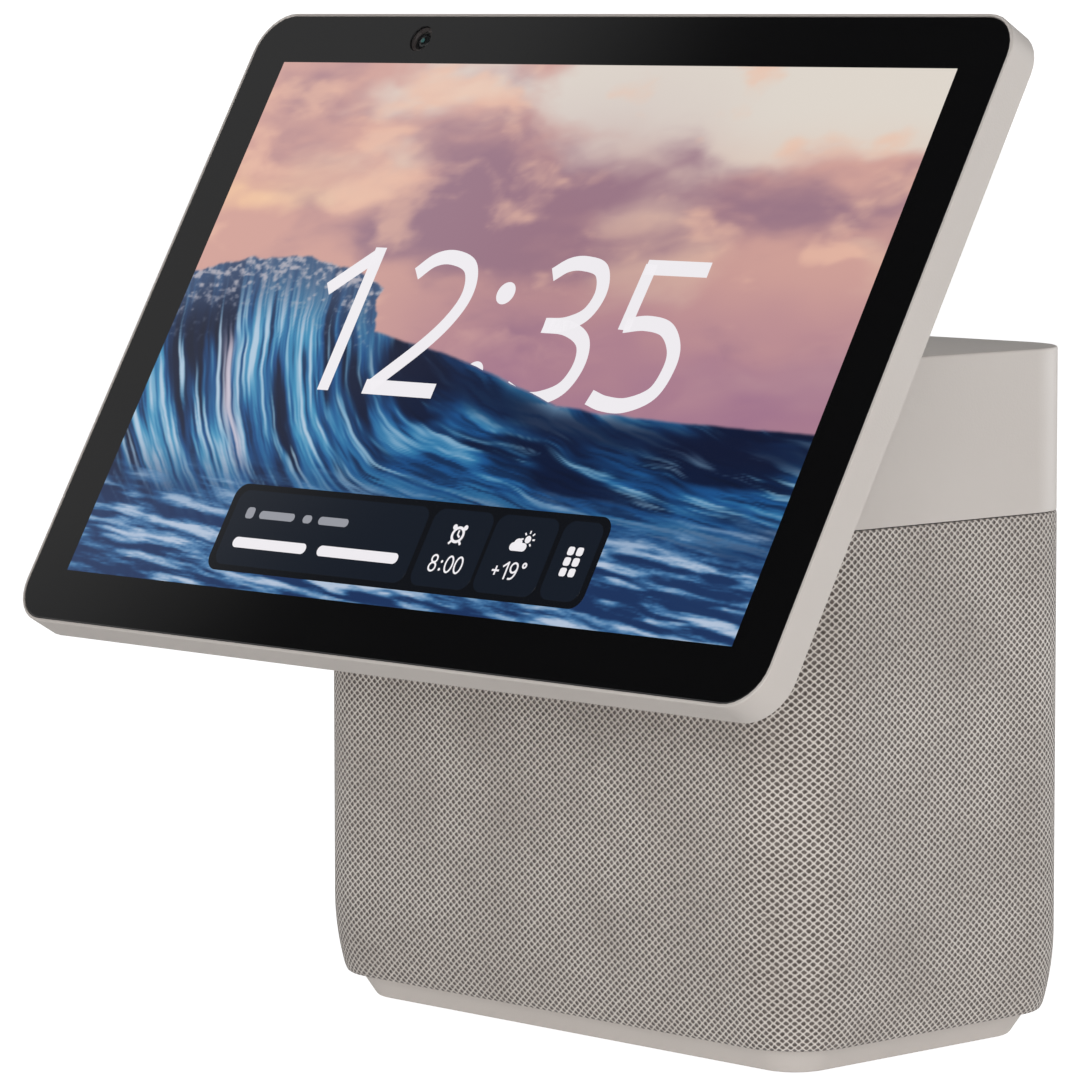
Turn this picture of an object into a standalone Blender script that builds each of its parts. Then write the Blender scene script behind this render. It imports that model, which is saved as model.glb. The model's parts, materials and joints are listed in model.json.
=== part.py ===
"""A smart display: a 10.1 inch touch screen that tilts on the front of a fabric-covered speaker.

Metres, +Z up. The front faces -Y. The origin is on the table, under the centre of the speaker body.
The screen is built upright round its hinge axis and then leant back by an empty on that axis.
"""

import math

import bmesh
import bpy
from mathutils import Matrix, Vector

# Driving sizes: speaker body
BODY_WIDTH = 0.1623
BODY_DEPTH = 0.0957
BODY_CORNER = 0.0190
TOP_Z = 0.1573
SEAM_Z = 0.1205
FOOT_TOP_Z = 0.0060
FABRIC = 0.0012
CURL_START_Z = 0.0250
CURL_RADIUS = 0.0640
SHELL_WALL = 0.0025
GAP = 0.0003

# Driving sizes: screen
ACTIVE_WIDTH = 0.21696
ACTIVE_HEIGHT = 0.13560
GLASS_WIDTH = 0.24165
GLASS_HEIGHT = 0.16090
GLASS_CORNER = 0.0095
GLASS_THICK = 0.0011
LIP = 0.0008
FRAME_DEPTH = 0.0084
LEAN_BACK = math.radians(30.0)

# Hinge axis, and where the screen sits from it
AXIS_Y = -0.0400
AXIS_Z = 0.1480
GLASS_AHEAD = 0.0260
CENTRE_ABOVE = 0.0007
BARREL_HALF = 0.0340
BARREL_RADIUS = 0.0060
SHROUD_RADIUS = 0.0082
NECK_HALF_HEIGHT = 0.0045
SHAFT_RADIUS = 0.0030

# Speaker drivers
WOOFER_Z = 0.0630
SIDE_DRIVER_Y = 0.0020
TWEETER_X = 0.0560
TWEETER_Z = 0.1020
RADIATOR_Z = 0.0660
INLET_Z = 0.0200

# Buttons and camera shutter
BUTTON_Y = 0.0180
BUTTON_PITCH = 0.0220
BUTTON_RADIUS = 0.0060
CAMERA_X = -0.0635
CAMERA_UP = 0.0744
SHUTTER_TRAVEL = 0.0070

FRONT = -BODY_DEPTH / 2
BACK = BODY_DEPTH / 2
SIDE = BODY_WIDTH / 2
ENCLOSURE_INSET = FABRIC + GAP
ENCLOSURE_WALL = 0.0029
INNER_FACE = ENCLOSURE_INSET + ENCLOSURE_WALL
GLASS_FRONT = GLASS_AHEAD
FRAME_BACK = GLASS_AHEAD - FRAME_DEPTH

TOWARDS_FRONT = Matrix.Rotation(math.radians(90), 4, "X")
TOWARDS_BACK = Matrix.Rotation(math.radians(-90), 4, "X")
TOWARDS_RIGHT = Matrix.Rotation(math.radians(90), 4, "Y")
TOWARDS_LEFT = Matrix.Rotation(math.radians(-90), 4, "Y")
UPWARDS = Matrix.Identity(4)
DOWNWARDS = Matrix.Rotation(math.pi, 4, "X")

# Finishes: colour, roughness, metallic
SHELL_PLASTIC = ((0.60, 0.56, 0.52), 0.45, 0.0)
DARK_PLASTIC = ((0.05, 0.05, 0.05), 0.5, 0.0)
KNIT = ((0.42, 0.38, 0.35), 0.9, 0.0)
RUBBER = ((0.03, 0.03, 0.03), 0.8, 0.0)
PAPER_CONE = ((0.08, 0.08, 0.08), 0.7, 0.0)
STEEL = ((0.55, 0.55, 0.56), 0.35, 1.0)
ALUMINIUM = ((0.78, 0.78, 0.79), 0.35, 1.0)
FERRITE = ((0.10, 0.10, 0.11), 0.6, 0.3)
BOARD = ((0.02, 0.14, 0.07), 0.5, 0.0)
BLACK_GLASS = ((0.01, 0.01, 0.012), 0.05, 0.0)
DIFFUSER = ((0.85, 0.85, 0.85), 0.6, 0.0)


def clear_scene():
    for found in list(bpy.data.objects):
        bpy.data.objects.remove(found, do_unlink=True)


def new_collection(name):
    made = bpy.data.collections.new(name)
    bpy.context.scene.collection.children.link(made)
    return made


def material_for(name, finish):
    colour, roughness, metallic = finish
    made = bpy.data.materials.new(name + "_finish")
    made.use_nodes = True
    shader = made.node_tree.nodes["Principled BSDF"]
    shader.inputs["Base Color"].default_value = (*colour, 1.0)
    shader.inputs["Roughness"].default_value = roughness
    shader.inputs["Metallic"].default_value = metallic
    return made


def placed(name, mesh, finish, parent=None, place=None):
    """The mesh as an object: a part with a finish, or a cutter with none."""
    made = bpy.data.objects.new(name, mesh)
    if finish:
        parts.objects.link(made)
        mesh.materials.append(material_for(name, finish))
    else:
        cutters.objects.link(made)
        made.hide_render = True
        made.display_type = "WIRE"
    if place is not None:
        made.matrix_local = place
    made.parent = parent
    return made


def mesh_from(name, form):
    bmesh.ops.recalc_face_normals(form, faces=form.faces)
    mesh = bpy.data.meshes.new(name)
    form.to_mesh(mesh)
    form.free()
    return mesh


def add_box(form, low, high):
    centre = (Vector(low) + Vector(high)) / 2
    size = Vector(high) - Vector(low)
    matrix = Matrix.Translation(centre) @ Matrix.Diagonal((*size, 1.0))
    return bmesh.ops.create_cube(form, size=1.0, matrix=matrix)["verts"]


def block(name, low, high, finish=None, parent=None, rounded=0.0, along="Z", steps=4, top_only=False):
    """A box between two corners, its four edges along one axis rounded, or only the upper two."""
    form = bmesh.new()
    add_box(form, low, high)
    if rounded:
        axis = "XYZ".index(along)
        others = [i for i in range(3) if i != axis]
        middle_z = (low[2] + high[2]) / 2
        edges = [
            edge
            for edge in form.edges
            if all(abs(edge.verts[0].co[i] - edge.verts[1].co[i]) < 1e-7 for i in others)
            and not (top_only and edge.verts[0].co.z < middle_z)
        ]
        bmesh.ops.bevel(
            form, geom=edges, offset=rounded, segments=steps, profile=0.5, affect="EDGES"
        )
    return placed(name, mesh_from(name, form), finish, parent)


def rod(name, start, end, radius, sides=16, finish=None, parent=None):
    """A round bar between two points."""
    run = Vector(end) - Vector(start)
    turn = run.to_track_quat("Z", "Y").to_matrix().to_4x4()
    matrix = Matrix.Translation((Vector(start) + Vector(end)) / 2) @ turn
    form = bmesh.new()
    bmesh.ops.create_cone(
        form, cap_ends=True, segments=sides, radius1=radius, radius2=radius,
        depth=run.length, matrix=matrix,
    )
    return placed(name, mesh_from(name, form), finish, parent)


def rods(name, starts, run, radius, sides=12, parent=None):
    """One cutter made of several like bars."""
    form = bmesh.new()
    turn = Vector(run).to_track_quat("Z", "Y").to_matrix().to_4x4()
    for start in starts:
        matrix = Matrix.Translation(Vector(start) + Vector(run) / 2) @ turn
        bmesh.ops.create_cone(
            form, cap_ends=True, segments=sides, radius1=radius, radius2=radius,
            depth=Vector(run).length, matrix=matrix,
        )
    return placed(name, mesh_from(name, form), None, parent)


def turned(name, profile, finish, place, steps=20, parent=None):
    """A profile of (radius, height) points spun round local Z. It closes unless it ends on the axis."""
    count = len(profile)
    closes = profile[0][0] > 0.0
    edges = [(i, (i + 1) % count) for i in range(count if closes else count - 1)]
    mesh = bpy.data.meshes.new(name)
    mesh.from_pydata([(radius, 0.0, height) for radius, height in profile], edges, [])
    made = placed(name, mesh, finish, parent, place)
    spin = made.modifiers.new("spin", "SCREW")
    spin.steps = steps
    spin.render_steps = steps
    spin.use_merge_vertices = True
    spin.merge_threshold = 0.00001
    return made


def outline(width, depth, corner, inset, steps):
    """A rounded rectangle drawn in by an inset, anticlockwise from its +X +Y corner."""
    points = []
    for number, (side_x, side_y) in enumerate(((1, 1), (-1, 1), (-1, -1), (1, -1))):
        centre_x = side_x * (width / 2 - corner)
        centre_y = side_y * (depth / 2 - corner)
        for step in range(steps + 1):
            angle = math.radians(90.0 * (number + step / steps))
            points.append(
                (
                    centre_x + (corner - inset) * math.cos(angle),
                    centre_y + (corner - inset) * math.sin(angle),
                )
            )
    return points


def loft(name, size, rings, finish=None, parent=None, steps=6, loop=False, turn=UPWARDS, lift=0.0):
    """A skin through rounded rectangles, each ring an (inset, height) pair.

    A loop joins the last ring to the first, as in a tube's wall. Otherwise both ends are capped.
    """
    width, depth, corner = size
    form = bmesh.new()
    levels = []
    for inset, height in rings:
        points = outline(width, depth, corner, inset, steps)
        levels.append([form.verts.new((x, y + lift, height)) for x, y in points])
    pairs = list(zip(levels, levels[1:] + levels[:1] if loop else levels[1:]))
    for lower, upper in pairs:
        for i in range(len(lower)):
            j = (i + 1) % len(lower)
            form.faces.new((lower[i], lower[j], upper[j], upper[i]))
    if not loop:
        form.faces.new(levels[0])
        form.faces.new(levels[-1])
    bmesh.ops.transform(form, matrix=turn, verts=form.verts)
    return placed(name, mesh_from(name, form), finish, parent)


def shape(obj, operation, *tools):
    """Cut tools from the object, or join them to it. A joined tool is kept as a guide."""
    for tool in tools:
        step = obj.modifiers.new(tool.name, "BOOLEAN")
        step.operation = operation
        step.object = tool
    return obj


def cut(obj, *tools):
    return shape(obj, "DIFFERENCE", *tools)


def join(obj, *tools):
    return shape(obj, "UNION", *tools)


def smooth_rounds():
    """Round pieces are shaded smooth, with their corners kept sharp."""
    for part in parts.objects:
        if part.type == "MESH":
            part.data.shade_smooth()
            part.data.set_sharp_from_angle(angle=math.radians(30))


def at(x, y, z, turn=UPWARDS):
    return Matrix.Translation((x, y, z)) @ turn


def curl(z):
    """How far the fabric has drawn in at this height: a shallow arc above the foot."""
    drop = max(CURL_START_Z - z, 0.0)
    return drop * drop / (2 * CURL_RADIUS)


BODY = (BODY_WIDTH, BODY_DEPTH, BODY_CORNER)
CURL_LEVELS = (0.0100, 0.0130, 0.0170, 0.0210, CURL_START_Z)


def foot():
    """The moulded foot with a chamfered rim, and the rubber sole let into its underside."""
    sole_inset, sole_thick, rim_z = 0.0130, 0.0016, 0.0004
    spigot_inset, spigot_z = 0.0090, 0.0076
    rings = [
        (sole_inset - GAP, sole_thick + GAP),
        (sole_inset - GAP, rim_z),
        (0.0106, rim_z),
        (0.0101, 0.0006),
        (0.0097, 0.0010),
        (0.0064, FOOT_TOP_Z),
        (spigot_inset, FOOT_TOP_Z),
        (spigot_inset, spigot_z),
    ]
    plate = loft("foot_plate", BODY, rings, SHELL_PLASTIC, steps=8)
    loft("rubber_sole", BODY, [(sole_inset, 0.0), (sole_inset, sole_thick)], RUBBER)
    places = [(x, y) for x in (-0.055, 0.055) for y in (-0.026, 0.026)]
    sink_z = 0.0045
    starts = [(x, y, -0.001) for x, y in places]
    holes = rods("foot_screw_holes", starts, (0, 0, 0.013), 0.0017)
    sinks = rods("foot_screw_sinks", starts, (0, 0, 0.001 + sink_z), 0.0031)
    cut(plate, holes, sinks)
    for number, (x, y) in enumerate(places, 1):
        screw(f"foot_screw_{number}", at(x, y, sink_z - GAP, DOWNWARDS))
    return holes


def screw(name, place):
    """A pan-head screw, its head above local z = 0 and its shank below."""
    head, shank, head_thick, length = 0.0026, 0.0014, 0.0016, 0.0078
    profile = [
        (0.0, head_thick),
        (head, head_thick),
        (head, 0.0),
        (shank, 0.0),
        (shank, -length),
        (0.0, -length),
    ]
    turned(name, profile, STEEL, place, steps=10)


def sleeve(port):
    """The knitted sleeve, drawn over the enclosure and turned under its bottom edge."""
    under, flap_inset = FOOT_TOP_Z + GAP, 0.0086
    top = SEAM_Z - GAP
    edge_z = 0.0074
    turn_under = [(flap_inset, under), (0.0034, under), (0.0028, under + 0.0003)]
    outside = [(curl(z), z) for z in (edge_z, *CURL_LEVELS)] + [(0.0, top)]
    inside = [(FABRIC, top)] + [(FABRIC + curl(z), z) for z in reversed(CURL_LEVELS)]
    inside += [(FABRIC + curl(edge_z), edge_z + 0.0001), (flap_inset, edge_z + 0.0001)]
    made = loft("fabric_sleeve", BODY, turn_under + outside + inside, KNIT, loop=True)
    return cut(made, port)


def grille_slots(name, radius, turn, centre):
    """Level slots that fill a circle, to cut a grille through a wall."""
    slot, pitch, reach = 0.0055, 0.0090, 0.0100
    rows = int((radius - slot / 2) // pitch)
    form = bmesh.new()
    for row in range(-rows, rows + 1):
        height = row * pitch
        half = math.sqrt(radius**2 - (abs(height) + slot / 2) ** 2)
        if half > slot:
            add_box(form, (-half, height - slot / 2, -reach), (half, height + slot / 2, reach))
    bmesh.ops.transform(form, matrix=at(*centre, turn), verts=form.verts)
    return placed(name, mesh_from(name, form), None)


def enclosure(port, screw_holes):
    """The speaker box inside the fabric, its grilles, and the lid that closes it."""
    floor_z, inner_floor_z, shoulder_z, rim_z = 0.0078, 0.0104, 0.1196, 0.1260
    rim_inset = SHELL_WALL + GAP
    rings = [(0.0048, floor_z)]
    rings += [(ENCLOSURE_INSET + curl(z), z) for z in CURL_LEVELS]
    rings += [
        (ENCLOSURE_INSET, shoulder_z),
        (rim_inset, shoulder_z),
        (rim_inset, rim_z),
        (INNER_FACE, rim_z),
        (INNER_FACE, CURL_START_Z - 0.0100),
        (INNER_FACE + 0.0012, inner_floor_z),
    ]
    box = loft("speaker_enclosure", BODY, rings, DARK_PLASTIC)
    upright_left = TOWARDS_LEFT @ Matrix.Rotation(math.radians(90), 4, "Z")
    cut(
        box,
        grille_slots("woofer_slots", 0.0430, TOWARDS_FRONT, (0, FRONT, WOOFER_Z)),
        grille_slots("radiator_slots", 0.0310, TOWARDS_FRONT, (0, BACK, RADIATOR_Z)),
        grille_slots("left_slots", 0.0220, upright_left, (-SIDE, SIDE_DRIVER_Y, WOOFER_Z)),
        grille_slots("right_slots", 0.0220, upright_left, (SIDE, SIDE_DRIVER_Y, WOOFER_Z)),
        grille_slots("left_tweeter_slots", 0.0080, TOWARDS_FRONT, (-TWEETER_X, FRONT, TWEETER_Z)),
        grille_slots("right_tweeter_slots", 0.0080, TOWARDS_FRONT, (TWEETER_X, FRONT, TWEETER_Z)),
        port,
        screw_holes,
    )

    lid_inset, lid_z, lid_top_z = INNER_FACE + GAP, 0.1124, 0.1150
    lid = loft("enclosure_lid", BODY, [(lid_inset, lid_z), (lid_inset, lid_top_z)], DARK_PLASTIC)
    for side, name in ((-1, "left"), (1, "right")):
        low = (min(side * 0.022, side * 0.044), -0.0370, lid_top_z - 0.001)
        high = (max(side * 0.022, side * 0.044), -0.0150, 0.1317)
        join(lid, block(f"{name}_bracket_post", low, high))
    for number, (x, y) in enumerate((x, y) for x in (-0.052, 0.052) for y in (-0.004, 0.034)):
        join(lid, rod(f"board_post_{number}", (x, y, lid_top_z - 0.001), (x, y, 0.1237), 0.0025, 10))
    return lid


def surround_profile(inner, outer, crown):
    """A half-roll rubber ring between two radii, its crown at the given height."""
    centre, half = (inner + outer) / 2, (outer - inner) / 2
    thick, levels = 0.0008, 4
    over = []
    for step in range(levels):
        angle = math.pi * (1 - step / (levels - 1))
        over.append((centre + half * math.cos(angle), crown - half * (1 - math.sin(angle))))
    under = [(radius, height - thick) for radius, height in reversed(over)]
    return over + under


def drivers():
    """The woofer, two side drivers, two tweeters and the rear passive radiator."""
    front = at(0, FRONT + INNER_FACE + GAP, WOOFER_Z, TOWARDS_FRONT)
    basket = [
        (0.0475, 0.0000), (0.0475, -0.0040), (0.0450, -0.0040), (0.0345, -0.0230),
        (0.0345, -0.0270), (0.0140, -0.0270), (0.0140, -0.0250), (0.0325, -0.0250),
        (0.0325, -0.0226), (0.0432, -0.0044), (0.0432, 0.0000),
    ]
    turned("woofer_basket", basket, STEEL, front)
    magnet = [(0.0, -0.0273), (0.0350, -0.0273), (0.0350, -0.0410), (0.0, -0.0410)]
    turned("woofer_magnet", magnet, FERRITE, front)
    cone = [
        (0.0, -0.0110), (0.0070, -0.0120), (0.0125, -0.0150), (0.0380, -0.0036),
        (0.0380, -0.0046), (0.0130, -0.0170), (0.0130, -0.0245), (0.0122, -0.0245),
        (0.0122, -0.0160), (0.0068, -0.0130), (0.0, -0.0120),
    ]
    turned("woofer_cone", cone, PAPER_CONE, front)
    turned("woofer_surround", surround_profile(0.0383, 0.0429, -0.0005), RUBBER, front)

    small_basket = [
        (0.0265, 0.0000), (0.0265, -0.0030), (0.0240, -0.0030), (0.0170, -0.0120),
        (0.0170, -0.0140), (0.0080, -0.0140), (0.0080, -0.0126), (0.0156, -0.0126),
        (0.0226, -0.0030), (0.0226, 0.0000),
    ]
    small_magnet = [(0.0, -0.0143), (0.0150, -0.0143), (0.0150, -0.0220), (0.0, -0.0220)]
    small_cone = [
        (0.0, -0.0062), (0.0068, -0.0084), (0.0185, -0.0022), (0.0205, -0.0005),
        (0.0223, -0.0016), (0.0223, -0.0024), (0.0205, -0.0013), (0.0185, -0.0030),
        (0.0068, -0.0094), (0.0, -0.0072),
    ]
    tweeter = [
        (0.0, -0.0008), (0.0035, -0.0016), (0.0055, -0.0032), (0.0095, -0.0002),
        (0.0095, -0.0035), (0.0075, -0.0035), (0.0075, -0.0110), (0.0, -0.0110),
    ]
    for side, name, turn in ((-1, "left", TOWARDS_LEFT), (1, "right", TOWARDS_RIGHT)):
        place = at(side * (SIDE - INNER_FACE - GAP), SIDE_DRIVER_Y, WOOFER_Z, turn)
        turned(f"{name}_driver_basket", small_basket, STEEL, place, steps=16)
        turned(f"{name}_driver_magnet", small_magnet, FERRITE, place, steps=16)
        turned(f"{name}_driver_cone", small_cone, PAPER_CONE, place, steps=16)
        place = at(side * TWEETER_X, FRONT + INNER_FACE + 0.0008, TWEETER_Z, TOWARDS_FRONT)
        turned(f"{name}_tweeter", tweeter, ALUMINIUM, place, steps=16)

    rear = at(0, BACK - INNER_FACE - GAP, RADIATOR_Z, TOWARDS_BACK)
    turned("radiator_surround", surround_profile(0.0262, 0.0330, -0.0003), RUBBER, rear)
    plate = [(0.0, -0.0030), (0.0258, -0.0030), (0.0258, -0.0055), (0.0, -0.0055)]
    turned("radiator_plate", plate, ALUMINIUM, rear)


def inlet():
    """The power socket and the small plate round it, low on the back."""
    half_width, half_height, face_y = 0.0170, 0.0065, 0.0472
    plate = block(
        "port_plate",
        (-half_width, 0.0430, INLET_Z - half_height),
        (half_width, face_y, INLET_Z + half_height),
        SHELL_PLASTIC, rounded=0.003, along="Y",
    )
    cut(plate, rod("inlet_hole", (0, 0.040, INLET_Z), (0, 0.050, INLET_Z), 0.0042, 20))
    socket = [
        (0.0, -0.0012), (0.0010, -0.0015), (0.0010, -0.0095), (0.0029, -0.0095),
        (0.0029, 0.0), (0.0040, 0.0), (0.0040, -0.0045), (0.0054, -0.0045),
        (0.0054, -0.0140), (0.0, -0.0140),
    ]
    mouth = at(0, face_y - 0.0002, INLET_Z, TOWARDS_BACK)
    turned("power_inlet", socket, DARK_PLASTIC, mouth, steps=16)
    return block(
        "port_opening",
        (-half_width - GAP, 0.0380, INLET_Z - half_height - GAP),
        (half_width + GAP, 0.0520, INLET_Z + half_height + GAP),
        rounded=0.0033, along="Y",
    )


def upper_shell(button_holes):
    """The moulded cap over the electronics, with the hinge notch, button holes and microphone holes."""
    edge = 0.0005
    rings = [
        (SHELL_WALL, TOP_Z - SHELL_WALL),
        (SHELL_WALL, SEAM_Z),
        (0.0, SEAM_Z),
        (0.0, TOP_Z - edge),
        (0.3 * edge, TOP_Z - 0.3 * edge),
        (edge, TOP_Z),
    ]
    shell = loft("upper_shell", BODY, rings, SHELL_PLASTIC, steps=8)
    clear = 0.0007
    notch = block(
        "hinge_notch",
        (-BARREL_HALF - clear, FRONT - 0.01, AXIS_Z - SHROUD_RADIUS - clear),
        (BARREL_HALF + clear, AXIS_Y + SHROUD_RADIUS + clear, TOP_Z + 0.01),
    )
    bosses = [
        rod(f"{name}_boss", (x, BUTTON_Y, 0.1487), (x, BUTTON_Y, TOP_Z - 0.002), 0.0022, 12)
        for name, x in (("left", -0.038), ("right", 0.038))
    ]
    join(shell, *bosses)
    mics = rods("mic_holes", [(x, BUTTON_Y, 0.152) for x in (-0.033, 0.033)], (0, 0, 0.01), 0.0007, 8)
    cut(shell, notch, button_holes, mics)


def electronics():
    """The main board with its heat sink, the button board and the wireless antenna."""
    board = block("main_board", (-0.058, -0.008, 0.1240), (0.058, 0.038, 0.1256), BOARD)
    join(
        board,
        block("shield_can", (-0.053, 0.004, 0.1250), (-0.029, 0.030, 0.1284)),
        block("amplifier_chips", (0.030, 0.006, 0.1250), (0.050, 0.024, 0.1276)),
    )
    base_z, fin_z, fin, pitch, count = 0.1259, 0.1360, 0.0014, 0.0075, 6
    sink = block("heat_sink", (-0.024, 0.002, base_z), (0.024, 0.032, base_z + 0.0025), ALUMINIUM)
    for number in range(count):
        x = (number - (count - 1) / 2) * pitch
        low, high = (x - fin / 2, 0.0022, base_z + 0.001), (x + fin / 2, 0.0318, fin_z)
        join(sink, block(f"fin_{number}", low, high))
    half_width, half_depth, switch = 0.042, 0.008, 0.003
    low = (-half_width, BUTTON_Y - half_depth, 0.1470)
    high = (half_width, BUTTON_Y + half_depth, 0.1484)
    board = block("button_board", low, high, BOARD)
    for number in (-1, 0, 1):
        x = number * BUTTON_PITCH
        low, high = (x - switch, BUTTON_Y - switch, 0.1480), (x + switch, BUTTON_Y + switch, 0.1496)
        join(board, block(f"switch_{number + 2}", low, high))
    block("antenna_board", (0.0700, -0.012, 0.1280), (0.0710, 0.018, 0.1480), BOARD)


def buttons():
    """Three round keys in the top. Each rises on a stem from its switch and is held by a flange."""
    radius, flange = BUTTON_RADIUS, 0.0072
    profile = [
        (0.0, 0.0001), (0.0042, 0.0002), (0.0056, 0.0003), (radius, -0.0001),
        (radius, -0.0029), (flange, -0.0029), (flange, -0.0040), (0.0020, -0.0040),
        (0.0020, -0.0067), (0.0, -0.0067),
    ]
    names = ("volume_down_button", "mute_button", "volume_up_button")
    for number, name in enumerate(names, -1):
        turned(name, profile, SHELL_PLASTIC, at(number * BUTTON_PITCH, BUTTON_Y, TOP_Z), steps=18)
    places = [(number * BUTTON_PITCH, BUTTON_Y, TOP_Z - 0.004) for number in (-1, 0, 1)]
    return rods("button_holes", places, (0, 0, 0.008), radius + GAP, 24)


def hinge_base(lid):
    """The fixed half of the friction hinge: bracket, shaft, washers and nuts."""
    plate_z, plate_thick, ear, ear_radius = 0.1320, 0.0020, 0.0030, 0.0050
    ear_start = BARREL_HALF + 0.0016
    bracket = block(
        "hinge_bracket", (-0.046, -0.038, plate_z), (0.046, -0.014, plate_z + plate_thick), STEEL
    )
    for side, name in ((-1, "left"), (1, "right")):
        near, far = side * ear_start, side * (ear_start + ear)
        low, high = min(near, far), max(near, far)
        foot_corner = (low, AXIS_Y - ear_radius, plate_z + 0.0005)
        head_corner = (high, AXIS_Y + ear_radius + 0.0005, AXIS_Z + ear_radius)
        ear_block = block(
            f"{name}_ear", foot_corner, head_corner, None, None, ear_radius, "X", 6, True
        )
        join(bracket, ear_block)
    bore = SHAFT_RADIUS + 0.0002
    shaft_hole = rod("shaft_hole", (-0.05, AXIS_Y, AXIS_Z), (0.05, AXIS_Y, AXIS_Z), bore, 16)
    cut(bracket, shaft_hole)
    shaft_end = ear_start + ear + 0.0048
    shaft_ends = (-shaft_end, AXIS_Y, AXIS_Z), (shaft_end, AXIS_Y, AXIS_Z)
    rod("hinge_shaft", *shaft_ends, SHAFT_RADIUS, 16, STEEL)
    washer = [(0.0050, 0.0006), (0.0050, -0.0006), (bore, -0.0006), (bore, 0.0006)]
    for side, name in ((-1, "left"), (1, "right")):
        middle = side * (BARREL_HALF + 0.0008)
        washer_place = at(middle, AXIS_Y, AXIS_Z, TOWARDS_RIGHT)
        turned(f"{name}_friction_washer", washer, STEEL, washer_place, steps=16)
        near, far = side * (ear_start + ear + GAP), side * (ear_start + ear + 0.0033)
        nut = rod(f"{name}_shaft_nut", (near, AXIS_Y, AXIS_Z), (far, AXIS_Y, AXIS_Z), 0.0050, 6, STEEL)
        cut(nut, shaft_hole)

    places = [(x, y) for x in (-0.030, 0.030) for y in (-0.033, -0.019)]
    holes = rods("bracket_screw_holes", [(x, y, 0.1240) for x, y in places], (0, 0, 0.012), 0.0017)
    cut(bracket, holes)
    cut(lid, holes)
    for number, (x, y) in enumerate(places, 1):
        screw(f"bracket_screw_{number}", at(x, y, plate_z + plate_thick + GAP))


def hinge_arm(tilt):
    """The moving half: an arm whose barrel turns on the shaft, and the shroud that hides it."""
    flange_back, flange_front = 0.0194, 0.0204
    arm = block("hinge_arm", (-0.040, -flange_front, -0.014), (0.040, -flange_back, 0.014), STEEL, tilt)
    ends = (-BARREL_HALF, 0, 0), (BARREL_HALF, 0, 0)
    join(
        arm,
        block(
            "arm_neck",
            (-0.031, -flange_back - 0.0005, -0.0024),
            (0.031, -0.003, 0.0024),
            None, tilt,
        ),
        rod("arm_barrel", *ends, BARREL_RADIUS, 24, None, tilt),
    )
    cut(arm, rod("barrel_bore", (-0.05, 0, 0), (0.05, 0, 0), SHAFT_RADIUS + 0.0002, 16, None, tilt))

    shroud = rod("neck_shroud", *ends, SHROUD_RADIUS, 32, SHELL_PLASTIC, tilt)
    front = -(FRAME_BACK - GAP)
    neck, space = BARREL_HALF - 0.0003, 0.0004
    join(
        shroud,
        block(
            "shroud_neck",
            (-neck, front, -NECK_HALF_HEIGHT),
            (neck, -0.002, NECK_HALF_HEIGHT),
            None, tilt,
        ),
    )
    cut(
        shroud,
        rod("shroud_bore", (-0.05, 0, 0), (0.05, 0, 0), BARREL_RADIUS + space, 24, None, tilt),
        block("shroud_space", (-0.0316, front - 0.005, -0.0028), (0.0316, -0.001, 0.0028), None, tilt),
    )

    places = [(x, z) for x in (-0.036, 0.036) for z in (-0.010, 0.010)]
    starts = [(x, -0.024, z) for x, z in places]
    holes = rods("arm_screw_holes", starts, (0, 0.006, 0), 0.0015, 12, tilt)
    cut(arm, holes)
    head = [(0.0, 0.0), (0.0012, 0.0), (0.0012, -0.0018), (0.0, -0.0018)]
    for number, (x, z) in enumerate(places, 1):
        turned(f"arm_screw_{number}", head, STEEL, at(x, -0.0213, z, TOWARDS_FRONT), 10, tilt)
    return holes


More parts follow.
